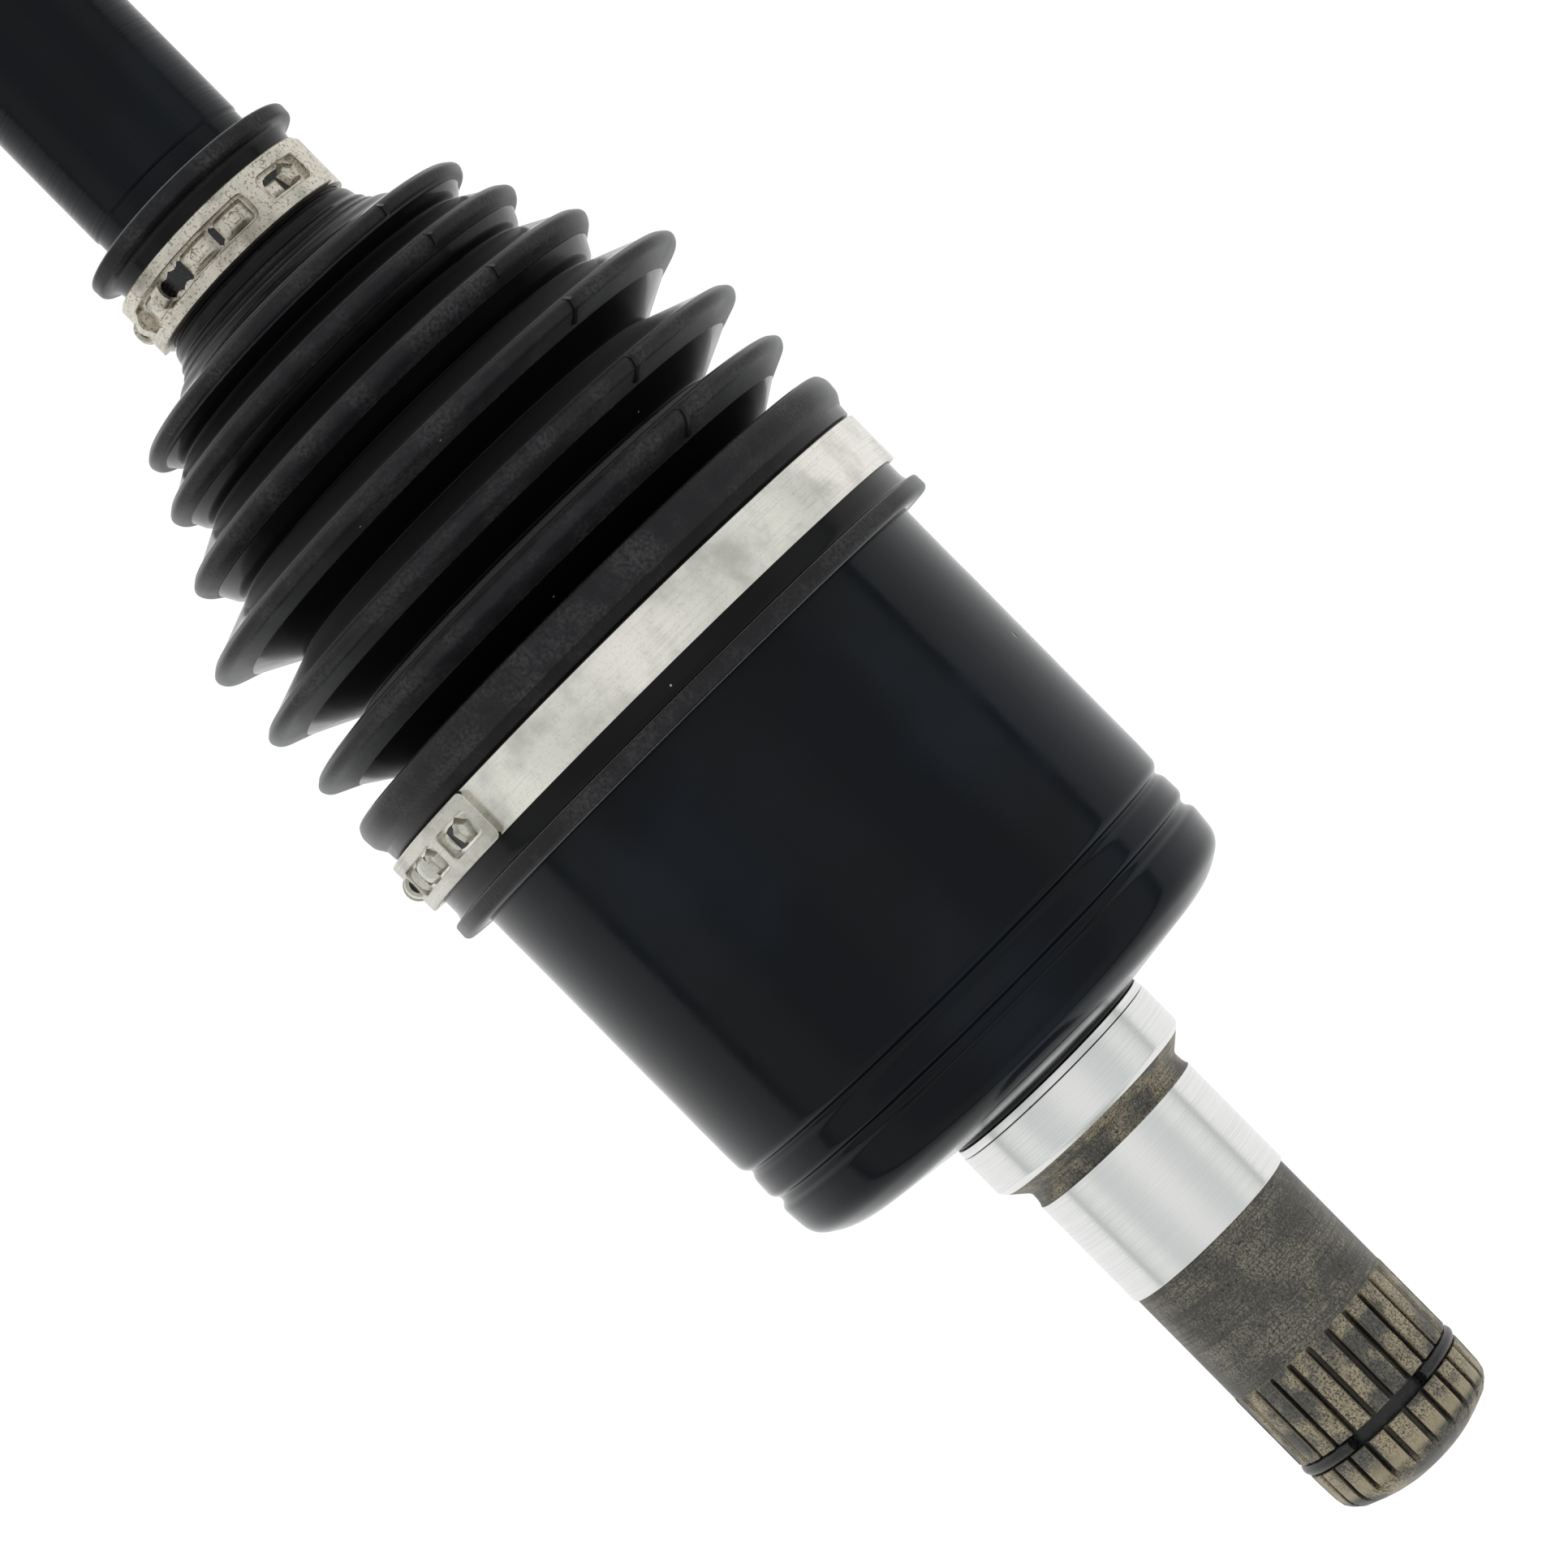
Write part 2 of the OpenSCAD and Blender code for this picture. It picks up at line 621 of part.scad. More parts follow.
// A boot from its small end at x = 0 to its large end at x = length, as [x, radius]
module boot(length, seat_r, crest_d, crest_at, valley_d, valley_at) {
    small_seat_end = small_band_x + small_band_w + 0.6;
    neck_end = small_seat_end + 5.4;
    fold_start = neck_end - 1.2;
    seat_w = large_band_x + large_band_w + 0.3;
    shoulder_x = length - seat_w - shoulder_w;
    fold_end = shoulder_x + 1;
    seat_out = seat_r + boot_seat_t;
    shoulder_r = seat_out + 1.8;
    lip_r = seat_out + large_lip_h;
    outer = concat(
        [[0, small_seat_r + boot_seat_t], [0.6, small_band_r + small_lip_h],
         [small_lip_w - 0.8, small_band_r + small_lip_h], [small_lip_w, small_band_r],
         [small_seat_end, small_band_r], [small_seat_end + 0.4, small_band_r + 0.9],
         [neck_end - 3.2, small_band_r + 1], [neck_end - 3, small_band_r + 1.8],
         [neck_end - 1.4, small_band_r + 2]],
        fold_outline(fold_start, fold_end, crest_d, crest_at, valley_d, valley_at),
        [[shoulder_x + 1.6, shoulder_r - 0.6], [shoulder_x + 2.6, shoulder_r],
         [shoulder_x + 5.4, shoulder_r],
         [shoulder_x + 6, shoulder_r - 0.9], [shoulder_x + shoulder_w, shoulder_r - 1],
         [shoulder_x + shoulder_w, seat_out], [length - large_lip_w, seat_out],
         [length - large_lip_w, lip_r - 0.3], [length - large_lip_w + 0.4, lip_r],
         [length - 0.4, lip_r], [length, lip_r - 0.4]]
    );
    inner = concat(
        [[0, small_seat_r], [small_seat_end + 1.4, small_seat_r], [neck_end, small_band_r - 0.4]],
        fold_lining(fold_start, fold_end, crest_d, crest_at, valley_d, valley_at),
        [[shoulder_x + 3, seat_r + 1.2], [shoulder_x + shoulder_w - 2, seat_r + 1.2],
         [shoulder_x + shoulder_w - 1.4, seat_r], [length, seat_r]]
    );
    turned(concat(outer, [for (i = [len(inner) - 1:-1:0]) inner[i]]));
}

module inboard_boot() {
    color("#141416") translate([in_boot_x1, 0, 0]) mirror([1, 0, 0])
        boot(in_boot_len, cup_r + boot_gap, in_crest_d, in_crest_at, in_valley_d, in_valley_at);
}

module outboard_boot() {
    color("#141416") translate([out_boot_x0, 0, 0])
        boot(out_boot_len, bell_r + boot_gap, out_crest_d, out_crest_at, out_valley_d, out_valley_at);
}

// ---------- boot clamps ----------

// A band clamp about X from x0. Its free end lies over the band and has two windows for the band's teeth
module band_clamp(x0, r_in, w, overlap) {
    r1 = r_in + band_t;
    r2 = r1 + band_t;
    sweep = overlap / r2 * 180 / PI;
    window_l = overlap * 0.22;
    loop_r = 1.9;
    loop_x = x0 + (w - window_w) / 2;
    color("#b3b0a3") {
        translate([x0, 0, 0]) along_x() rotate_extrude()
            translate([r_in, 0]) square([band_t, w]);
        difference() {
            translate([x0, 0, 0]) along_x() rotate([0, 0, loop_deg]) rotate_extrude(angle = sweep)
                translate([r1 - eps, 0]) square([band_t, w]);
            for (place = [0.45, 0.8])
                translate([x0 + w / 2, 0, 0]) along_x() rotate([0, 0, loop_deg + sweep * place])
                    translate([r2, 0, 0]) cube([2 * band_t, window_l, window_w], center = true);
        }
        // folded loop at the root of the free end
        translate([loop_x, 0, 0]) along_x() rotate([0, 0, loop_deg])
            translate([r1 + 1, 0, 0]) difference() {
                cylinder(r = loop_r, h = window_w, $fn = 32);
                translate([0, 0, -1]) cylinder(r = loop_r - band_t, h = window_w + 2, $fn = 32);
                translate([-5, -3, -1]) cube([4, 6, window_w + 2]);
            }
    }
}

// A clamp over the seat of a large end, which starts at x0 and has radius seat_r
module large_clamp(x0, seat_r) {
    band_clamp(x0, seat_r + boot_gap + boot_seat_t + band_gap, large_band_w, large_overlap);
}

// A clamp over the seat of a small end, which starts at x0
module small_clamp(x0) {
    band_clamp(x0, small_band_r + band_gap, small_band_w, small_overlap);
}

module inboard_boot_large_clamp() {
    large_clamp(in_boot_x0 + large_band_x, cup_r);
}

module inboard_boot_small_clamp() {
    small_clamp(in_boot_x1 - small_band_x - small_band_w);
}

module outboard_boot_large_clamp() {
    large_clamp(out_boot_x1 - large_band_x - large_band_w, bell_r);
}

module outboard_boot_small_clamp() {
    small_clamp(out_boot_x0 + small_band_x);
}

// ---------- assembly ----------

bar_shaft();
inboard_outer_race();
inboard_stub_circlip();
inboard_stopper_ring();
inboard_cage();
inboard_inner_race();
inboard_race_snap_ring();
inboard_race_stop_ring();
inboard_boot();
inboard_boot_large_clamp();
inboard_boot_small_clamp();
outboard_outer_race();
outboard_dust_ring();
outboard_cage();
outboard_inner_race();
outboard_race_snap_ring();
outboard_race_stop_ring();
outboard_boot();
outboard_boot_large_clamp();
outboard_boot_small_clamp();
hub_washer();
hub_nut();
cotter_pin();
for (i = [1:ball_count]) {
    ball(in_centre, in_pitch_r, i);
    ball(out_centre, out_pitch_r, i);
}
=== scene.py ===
import math

import bmesh
import bpy
from mathutils import Matrix, Vector


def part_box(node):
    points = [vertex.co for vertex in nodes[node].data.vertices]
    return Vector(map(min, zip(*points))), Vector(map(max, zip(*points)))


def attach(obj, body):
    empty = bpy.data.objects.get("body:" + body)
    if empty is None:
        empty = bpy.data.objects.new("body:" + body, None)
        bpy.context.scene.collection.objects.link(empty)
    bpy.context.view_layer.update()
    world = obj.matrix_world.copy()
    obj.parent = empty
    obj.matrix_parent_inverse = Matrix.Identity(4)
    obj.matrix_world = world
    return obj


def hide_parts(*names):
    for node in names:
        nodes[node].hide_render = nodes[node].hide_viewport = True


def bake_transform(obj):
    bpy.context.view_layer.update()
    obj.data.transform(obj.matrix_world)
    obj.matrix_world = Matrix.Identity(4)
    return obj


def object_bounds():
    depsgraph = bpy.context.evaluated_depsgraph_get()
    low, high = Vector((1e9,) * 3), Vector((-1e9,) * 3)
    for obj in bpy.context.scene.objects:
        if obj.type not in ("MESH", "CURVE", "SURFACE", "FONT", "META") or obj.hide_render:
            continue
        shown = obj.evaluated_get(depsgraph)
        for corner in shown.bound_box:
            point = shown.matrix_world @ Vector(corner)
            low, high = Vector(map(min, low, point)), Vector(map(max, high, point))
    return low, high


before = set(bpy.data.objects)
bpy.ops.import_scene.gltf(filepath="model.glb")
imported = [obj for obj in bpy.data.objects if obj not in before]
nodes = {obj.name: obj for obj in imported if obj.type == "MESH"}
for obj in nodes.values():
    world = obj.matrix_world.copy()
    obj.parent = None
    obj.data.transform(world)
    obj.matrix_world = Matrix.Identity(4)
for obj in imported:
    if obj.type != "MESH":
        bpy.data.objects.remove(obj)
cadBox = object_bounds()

mm = 0.001
scene = bpy.context.scene


def along(node):  # where a CAD node starts and ends on the axle's axis, in mm
    low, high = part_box(node)
    return low.x / mm, high.x / mm


def reach(node):  # how far a CAD node reaches from the axis, in mm
    return -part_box(node)[0].y / mm


# materials

class Value:  # a node's output that takes part in Python sums
    def __init__(self, paint, socket):
        self.paint, self.socket = paint, socket

    def calc(self, operation, *others):
        inputs = dict(enumerate([self, *others]))
        return self.paint.node("ShaderNodeMath", {"operation": operation}, inputs)

    def __add__(self, other):
        return self.calc("ADD", other)

    def __mul__(self, other):
        return self.calc("MULTIPLY", other)

    __radd__ = __add__
    __rmul__ = __mul__

    def between(self, low, high, start=0.0, end=1.0):  # start at low and end at high, smooth between
        return self.paint.node("ShaderNodeMapRange", {"interpolation_type": "SMOOTHSTEP"},
                               {0: self, 1: low, 2: high, 3: start, 4: end})


class Paint:  # one material on its way to being finished
    def __init__(self, name):
        self.material = bpy.data.materials.new(name)
        self.material.use_nodes = True
        self.tree = self.material.node_tree
        self.shader = self.tree.nodes["Principled BSDF"]
        self.place = self.node("ShaderNodeTexCoord", output="Object")
        parts = [self.node("ShaderNodeSeparateXYZ", {}, {0: self.place}, i) for i in range(3)]
        self.x, self.y, self.z = parts

    def node(self, kind, settings={}, inputs={}, output=0):
        made = self.tree.nodes.new(kind)
        for key, value in settings.items():
            if key == "stops":
                fillRamp(made.color_ramp, value)
            else:
                setattr(made, key, value)
        for key, value in inputs.items():
            self.feed(made.inputs[key], value)
        return Value(self, made.outputs[output])

    def feed(self, socket, value):
        if isinstance(value, Value):
            self.tree.links.new(value.socket, socket)
        else:
            socket.default_value = value

    def set(self, **values):
        for key, value in values.items():
            words = "".join(" " + c if c.isupper() else c for c in key).strip()
            self.feed(self.shader.inputs[{"Specular": "Specular IOR Level"}.get(words, words)], value)
        return self

    def noise(self, size, detail=3, rough=0.55, stretch=None):  # size in mm
        where = self.place
        if stretch:
            where = self.node("ShaderNodeMapping", {}, {0: self.place, 3: stretch})
        return self.node("ShaderNodeTexNoise", {}, {"Vector": where, "Scale": 1 / (size * mm),
                                                    "Detail": detail, "Roughness": rough})

    def wrapped(self, size, turnSize, detail=3, rough=0.6):  # noise drawn out around the axle
        angle = self.y.calc("ARCTAN2", self.z)
        rolled = {0: self.x * (1 / (size * mm)), 1: angle * (1 / turnSize)}
        where = self.node("ShaderNodeCombineXYZ", {}, rolled)
        return self.node("ShaderNodeTexNoise", {}, {"Vector": where, "Scale": 1, "Detail": detail,
                                                    "Roughness": rough})

    def specks(self, spacing, size, share):  # a mask of small spots on a share of the cells
        cells = {"Vector": self.place, "Scale": 1 / (spacing * mm)}
        near = self.node("ShaderNodeTexVoronoi", {}, cells)
        pick = self.node("ShaderNodeSeparateColor", {},
                         {0: self.node("ShaderNodeTexVoronoi", {}, cells, "Color")})
        edge = size / spacing
        return near.between(edge * 0.5, edge, 1, 0) * pick.calc("GREATER_THAN", 1 - share)

    def mix(self, factor, first, second):
        inputs = {0: factor, 6: colour(first), 7: colour(second)}
        return self.node("ShaderNodeMix", {"data_type": "RGBA"}, inputs, 2)

    def bump(self, height, depth, normal=None):  # depth in mm
        inputs = {"Height": height, "Distance": depth * mm, "Strength": 1}
        if normal:
            inputs["Normal"] = normal
        return self.node("ShaderNodeBump", {}, inputs)


def colour(value):
    return value if isinstance(value, Value) else (*value, 1)


def fillRamp(ramp, stops):
    while len(ramp.elements) < len(stops):
        ramp.elements.new(0.5)
    for element, (place, tone) in zip(ramp.elements, stops):
        element.position = place
        element.color = (*tone, 1)


gloss = {"base": (0.002, 0.003, 0.005), "tint": (0.005, 0.008, 0.013), "dust": (0.45, 0.46, 0.45)}


def makeGloss(name="glossBlack", rough=0.1, ripple=0.0):
    paint = Paint(name)
    cloud = paint.noise(30, 3)
    dust = paint.specks(7, 0.22, 0.16)
    smear = paint.noise(9, 4, stretch=(1, 0.4, 0.4))
    tone = paint.mix(cloud.between(0.4, 0.7), gloss["base"], gloss["tint"])
    peel = paint.bump(paint.noise(2.2, 2), 0.012)
    nick = paint.bump(paint.specks(11, 0.9, 0.12), -0.06, peel)
    if ripple:
        nick = paint.bump(paint.wrapped(0.55, 6, 2), ripple, nick)
    return paint.set(BaseColor=paint.mix(dust, tone, gloss["dust"]), Specular=0.13, Normal=nick,
                     Roughness=dust * 0.5 + smear.between(0.35, 0.75, rough, rough + 0.1)).material


# the last colour, pale grey, is a painted rim highlight for the crests seen edge on
rubber = {"gloss": (0.0025, 0.0025, 0.003), "matt": (0.014, 0.013, 0.015), "chalk": (0.050, 0.049, 0.052),
          "dust": (0.5, 0.5, 0.5), "rimHighlight": (0.19, 0.20, 0.19)}


def makeRubber():
    paint = Paint("bootRubber")
    matt = paint.node("ShaderNodeAttribute", {"attribute_name": "matt"}, {}, "Fac")
    grain = paint.noise(0.5, 4)
    cloud = paint.noise(7, 3)
    chalky = paint.mix(cloud.between(0.35, 0.75) * grain.between(0.3, 0.7), rubber["matt"], rubber["chalk"])
    dust = paint.specks(4.5, 0.2, 0.2)
    tone = paint.mix(matt, rubber["gloss"], chalky)
    edgeOn = paint.node("ShaderNodeLayerWeight", {}, {0: 0.5}, "Facing")
    tone = paint.mix(edgeOn.between(0.55, 0.98) * matt, tone, rubber["rimHighlight"])  # painted rim highlight: pale grey on the matt crests where they are seen edge on
    skin = paint.bump(grain * matt, 0.05, paint.bump(paint.noise(3, 2), 0.015))
    return paint.set(BaseColor=paint.mix(dust, tone, rubber["dust"]), Specular=0.15, SheenWeight=0.12,
                     SheenRoughness=0.25, Normal=skin,
                     Roughness=matt * 0.28 + cloud.between(0.3, 0.7, 0.13, 0.22)).material


steels = {
    "strip": {"base": (0.78, 0.76, 0.70), "stain": (0.46, 0.45, 0.41), "rough": 0.28},
    "plate": {"base": (0.60, 0.585, 0.525), "stain": (0.32, 0.31, 0.27), "rough": 0.32},
    "speckled": {"base": (0.66, 0.62, 0.54), "stain": (0.20, 0.18, 0.145), "rough": 0.36},
    "ground": {"base": (0.80, 0.80, 0.79), "stain": (0.68, 0.69, 0.68)},
    "bearing": {"base": (0.52, 0.52, 0.53), "stain": (0.38, 0.38, 0.39), "rough": 0.16},
    "zinc": {"base": (0.60, 0.57, 0.44), "stain": (0.44, 0.43, 0.36), "rough": 0.32},
}


def makeStrip(name, steel, speck):
    paint = Paint(name)
    brush = paint.wrapped(0.3, 0.5, 4, 0.65)
    cloud = paint.noise(6, 3)
    spots = paint.noise(0.4, 3).between(0.54, 0.64) * speck
    tone = paint.mix(cloud.between(0.4, 0.75) * 0.75, steel["base"], steel["stain"])
    tone = paint.mix(brush.between(0.5, 0.7) * 0.22, tone, steel["stain"])
    tone = paint.mix(spots, tone, steel["stain"])
    shine = brush.between(0.3, 0.7, steel["rough"] - 0.08, steel["rough"] + 0.1)
    return paint.set(BaseColor=tone, Metallic=1.0, Normal=paint.bump(brush, 0.01), Roughness=shine).material


def makeGround():
    paint = Paint("groundSteel")
    steel = steels["ground"]
    lines = paint.wrapped(0.09, 2.5, 4, 0.7)
    spots = paint.specks(6, 0.25, 0.25)
    tone = paint.mix(lines.between(0.35, 0.7), steel["base"], steel["stain"])
    return paint.set(BaseColor=paint.mix(spots, tone, (0.2, 0.19, 0.18)), Metallic=1.0,
                     Normal=paint.bump(lines, 0.006), Roughness=lines.between(0.3, 0.7, 0.17, 0.3)).material


def makeCast(name, steel):
    paint = Paint(name)
    cloud = paint.noise(4, 3)
    fine = paint.noise(0.4, 3)
    tone = paint.mix(cloud.between(0.35, 0.7), steel["base"], steel["stain"])
    shine = fine.between(0.3, 0.7, steel["rough"] - 0.05, steel["rough"] + 0.08)
    return paint.set(BaseColor=tone, Metallic=1.0, Normal=paint.bump(fine, 0.006), Roughness=shine).material


oxide = {"base": (0.058, 0.056, 0.050), "light": (0.21, 0.20, 0.17), "tan": (0.40, 0.335, 0.225),
         "dark": (0.014, 0.013, 0.012)}


def makeOxide(name="oxideSteel", tan=0.22, lines=1.0, rootR=0.0, topR=0.1, clear=()):
    paint = Paint(name)
    turnedLines = paint.wrapped(0.3, 1.5, 1, 0.4)
    grain = paint.noise(0.3, 3, 0.65)
    cloud = paint.noise(6, 3)
    patchy = grain.between(0.42, 0.62) * cloud.between(0.3, 0.65, 0.4, 1)
    tone = paint.mix(patchy, oxide["base"], oxide["light"])
    tone = paint.mix(cloud.between(0.42, 0.6) * grain.between(0.34, 0.58) * tan, tone, oxide["tan"])
    tone = paint.mix(turnedLines.between(0.48, 0.6) * lines * 0.55, tone, oxide["base"])
    pits = paint.noise(0.55, 2).between(0.62, 0.68)
    tone = paint.mix(pits * 0.7, tone, oxide["dark"])
    if rootR:  # the grooves between teeth get darker towards their roots, and a painted highlight runs along their lips
        r = (paint.y * paint.y + paint.z * paint.z).calc("SQRT")
        away = paint.x.between(*clear)  # the grooves get no darker over the chamfered end
        tone = paint.mix(r.between(rootR * mm, topR * mm, 0.85, 0) * away, tone, oxide["dark"])
        # painted highlight: a tan band along the lips of the teeth
        rising = r.between((topR - 0.35) * mm, (topR - 0.1) * mm)
        falling = r.between((topR - 0.1) * mm, (topR + 0.03) * mm, 1, 0)
        tone = paint.mix(rising * falling * 0.7, tone, oxide["tan"])
    height = turnedLines * lines + grain
    return paint.set(BaseColor=tone, Metallic=0.4, Normal=paint.bump(height, 0.04), Specular=0.4,
                     Roughness=grain.between(0.3, 0.7, 0.36, 0.6)).material


# black wire; the same black also stands in for painted shade: pads in the clamps' windows, plugs inside
# their loops, the circlip groove's floor
def makeWireAndShade():
    paint = Paint("blackWireAndShade")
    grain = paint.noise(0.4, 3)
    tone = paint.mix(grain.between(0.45, 0.75), (0.006, 0.006, 0.007), (0.03, 0.03, 0.03))
    return paint.set(BaseColor=tone, Specular=0.4, Normal=paint.bump(grain, 0.008),
                     Roughness=grain.between(0.3, 0.7, 0.25, 0.4)).material


finish = {
    "gloss": makeGloss(), "bar": makeGloss("barBlack", rough=0.16, ripple=0.11), "rubber": makeRubber(),
    "strip": makeStrip("stripSteel", steels["strip"], 0.25),
    "plate": makeStrip("plateSteel", steels["plate"], 0.35),
    "speckled": makeStrip("speckledStrip", steels["speckled"], 0.8),
    "ground": makeGround(), "oxide": makeOxide(),
    "spline": makeOxide("splineSteel", tan=1.0, lines=0.25, rootR=12.3, topR=12.95,
                        clear=(-0.0557, -0.0541)),
    "hubSpline": makeOxide("hubSplineSteel", tan=0.8, lines=0.25, rootR=12.7, topR=13.35,
                           clear=(0.5526, 0.5538, 1, 0)),
    "turned": makeOxide("turnedSteel", tan=0.8, lines=0.8),
    "bearing": makeCast("bearingSteel", steels["bearing"]), "zinc": makeCast("zincSteel", steels["zinc"]),
    "wire": makeWireAndShade(),
}
print("materials made:", len(finish))

# mesh helpers


def rounded(corners, steps=6):  # an outline of corners (x, r, fillet), with a curve at each fillet
    outline = []
    last = len(corners) - 1
    for i, (x, r, fillet, *rest) in enumerate(corners):
        here = Vector((x, r))
        if not fillet or i in (0, last):
            outline.append((x, r, *rest))
            continue
        before, after = Vector(corners[i - 1][:2]) - here, Vector(corners[i + 1][:2]) - here
        cut = min(fillet, before.length * 0.48, after.length * 0.48)
        start, end = here + before.normalized() * cut, here + after.normalized() * cut
        for k in range(steps + 1):
            u = k / steps
            point = start * (1 - u) ** 2 + here * (2 * u * (1 - u)) + end * u ** 2
            outline.append((point.x, point.y, *rest))
    return outline


def finishMesh(bm, name, looks, sharp=34):
    bmesh.ops.remove_doubles(bm, verts=bm.verts, dist=1e-7)
    bmesh.ops.recalc_face_normals(bm, faces=bm.faces)
    for face in bm.faces:
        face.smooth = True
    for edge in bm.edges:
        edge.smooth = edge.is_manifold and edge.calc_face_angle() < math.radians(sharp)
    mesh = bpy.data.meshes.new(name)
    bm.to_mesh(mesh)
    bm.free()
    piece = bpy.data.objects.new(name, mesh)
    scene.collection.objects.link(piece)
    for look in looks:
        mesh.materials.append(finish[look])
    return piece


def ring(bm, outline, steps, closed=True, start=0.0, angle=360.0):  # spins an outline about the axle
    layer = bm.verts.layers.float.get("matt") or bm.verts.layers.float.new("matt")
    first = math.radians(start)
    points = []
    for x, r, *rest in outline:
        point = bm.verts.new((x * mm, r * mm * math.sin(first), r * mm * math.cos(first)))
        point[layer] = rest[0] if rest else 0.0
        points.append(point)
    full = angle >= 360
    pairs = list(zip(points, points[1:]))
    if closed:
        pairs.append((points[-1], points[0]))
    edges = [bm.edges.new(pair) for pair in pairs]
    shape = [*points, *edges]
    if not full:
        shape.append(bm.faces.new(points))
    bmesh.ops.spin(bm, geom=shape, cent=(0, 0, 0), axis=(1, 0, 0), angle=-math.radians(angle),
                   steps=steps, use_merge=full, use_duplicate=False)


def lathe(name, outline, looks, steps=160, closed=True):
    bm = bmesh.new()
    ring(bm, outline, steps, closed)
    return finishMesh(bm, name, looks)


def lookByPlace(piece, bands, clear=11.5):  # bands of (look, from x, to x), for faces farther out than clear
    for index, (look, start, end) in enumerate(bands, 1):
        piece.data.materials.append(finish[look])
        for face in piece.data.polygons:
            away = math.hypot(face.center.y, face.center.z)
            if start * mm < face.center.x < end * mm and away > clear * mm:
                face.material_index = index


def cutAway(piece, cutter):
    carve = piece.modifiers.new("carve", "BOOLEAN")
    carve.object = cutter
    carve.solver = "EXACT"
    bpy.context.view_layer.update()
    carved = bpy.data.meshes.new_from_object(piece.evaluated_get(bpy.context.evaluated_depsgraph_get()))
    piece.modifiers.clear()
    piece.data = carved
    bpy.data.objects.remove(cutter)
    return piece


def place(piece, body, slot, *stoodFor):
    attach(piece, body)
    if stoodFor:
        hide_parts(*stoodFor)


# inboard cup

cup = {
    "ballCircle": 25, "grooveR": 8.44, "boreR": 29.5, "floor": 14, "pocket": 3, "grooveStart": 17,
    "lineR": 36.4, "lineAt": 10.6, "length": 79,
}
ballCount = sum("inboard_ball" in name for name in nodes)
tipX, mouthX = along("inboard_outer_race")
cupR = reach("inboard_outer_race")
backX = mouthX - cup["length"]


def cupOutline():
    floorX = backX + cup["floor"]
    line, lineR = backX + cup["lineAt"], cup["lineR"]
    bore = cup["boreR"]
    return rounded([
        (backX - 1, 0, 0), (backX - 1, 15.4, 0), (backX - 0.4, 19, 1), (backX + 0.1, 22.3, 1),
        (backX + 1.6, 32.4, 3), (backX + 4.4, 36.7, 4), (backX + 8.2, 37.05, 2), (line - 1.2, 37.15, 0.6),
        (line - 0.4, lineR, 0.4), (line + 0.4, lineR, 0.4), (line + 1.2, 37.2, 0.6), (line + 4.2, 37.1, 0.6),
        (line + 5.2, 36.45, 0.5), (line + 6.2, 37.55, 0.8), (line + 9, cupR, 1),
        (mouthX - 1, cupR, 0.5), (mouthX, cupR - 1, 0.3), (mouthX, bore + 1.4, 0.3), (mouthX - 1.4, bore, 0),
        (mouthX - 1.75, bore, 0), (mouthX - 1.75, bore + 1.2, 0), (mouthX - 3.85, bore + 1.2, 0),
        (mouthX - 3.85, bore, 0), (floorX + 2, bore, 1), (floorX, bore - 2, 1), (floorX, 16, 1),
        (floorX - cup["pocket"], 12, 1), (floorX - cup["pocket"], 0, 0),
    ])


def straightCutter():
    bm = bmesh.new()
    start, end = (backX + cup["grooveStart"]) * mm, (mouthX + 2) * mm
    for i in range(ballCount):
        turn = Matrix.Rotation(math.radians(360 / ballCount * i), 4, "X")
        spot = turn @ Matrix.Translation(((start + end) / 2, 0, cup["ballCircle"] * mm))
        bmesh.ops.create_cone(bm, cap_ends=True, segments=48, radius1=cup["grooveR"] * mm,
                              radius2=cup["grooveR"] * mm, depth=end - start,
                              matrix=spot @ Matrix.Rotation(math.pi / 2, 4, "Y"))
    return finishMesh(bm, "grooveCutter", ["gloss"])


inboardCup = cutAway(lathe("inboardCup", cupOutline(), ["gloss"], 192, False), straightCutter())
place(inboardCup, "inboard_housing", "black_paint", "inboard_outer_race")
print("inboard cup carved")

# inboard stub: journals, then the spline

stub = {"journalR": 13.3, "journalLen": 17.5, "sealR": 16.1, "sealStart": 4.5, "sealLen": 6.6,
        "oxideR": 12.95}
splineLen = 23.2
splineEnd = tipX + splineLen


def stubOutline():
    sealEnd = stub["sealStart"] + stub["sealLen"]
    journal, seal = stub["journalR"], stub["sealR"]
    journalEnd = -stub["journalLen"]
    return rounded([
        (backX - 0.9, 0, 0), (backX - 0.9, 15.5, 0), (backX - 1.3, 15.5, 0.1),
        (backX - 1.4, seal - 0.15, 0.1), (sealEnd, seal - 0.12, 0.1), (sealEnd - 0.1, seal, 0.1),
        (stub["sealStart"] + 0.3, seal, 0.2), (stub["sealStart"] - 0.4, seal - 0.6, 0.3),
        (2.1, journal - 0.1, 0.8), (1.7, 12.95, 0.5), (0.5, 13.0, 0.3), (-0.05, journal - 0.15, 0.1),
        (-0.35, journal, 0.1), (0.1 + journalEnd, journal, 0.1), (journalEnd, journal - 0.1, 0),
        (journalEnd - 0.1, stub["oxideR"], 0.1), (splineEnd, stub["oxideR"], 0.1), (splineEnd, 0, 0),
    ], 4)


inboardStub = lathe("inboardStub", stubOutline(), ["ground"], 160, False)
lookByPlace(inboardStub, [("oxide", splineEnd - 1, -stub["journalLen"] - 0.02), ("turned", -0.33, 4.0),
                          ("wire", backX - 1.38, backX - 0.8)])
place(inboardStub, "inboard_housing", "ground_steel", "inboard_outer_race")

toothPitch = [(0.0, 0.0), (0.13, 0.0), (0.25, 0.0), (0.33, 0.02), (0.36, 0.14), (0.39, 0.75), (0.42, 0.97),
              (0.5, 1.0), (0.58, 0.97), (0.61, 0.75), (0.64, 0.14), (0.67, 0.02), (0.75, 0.0), (0.87, 0.0)]
inboardSpline = {"teeth": 24, "r": 13.05, "depth": 1.15, "runOut": 2.4, "clipR": 11.3}


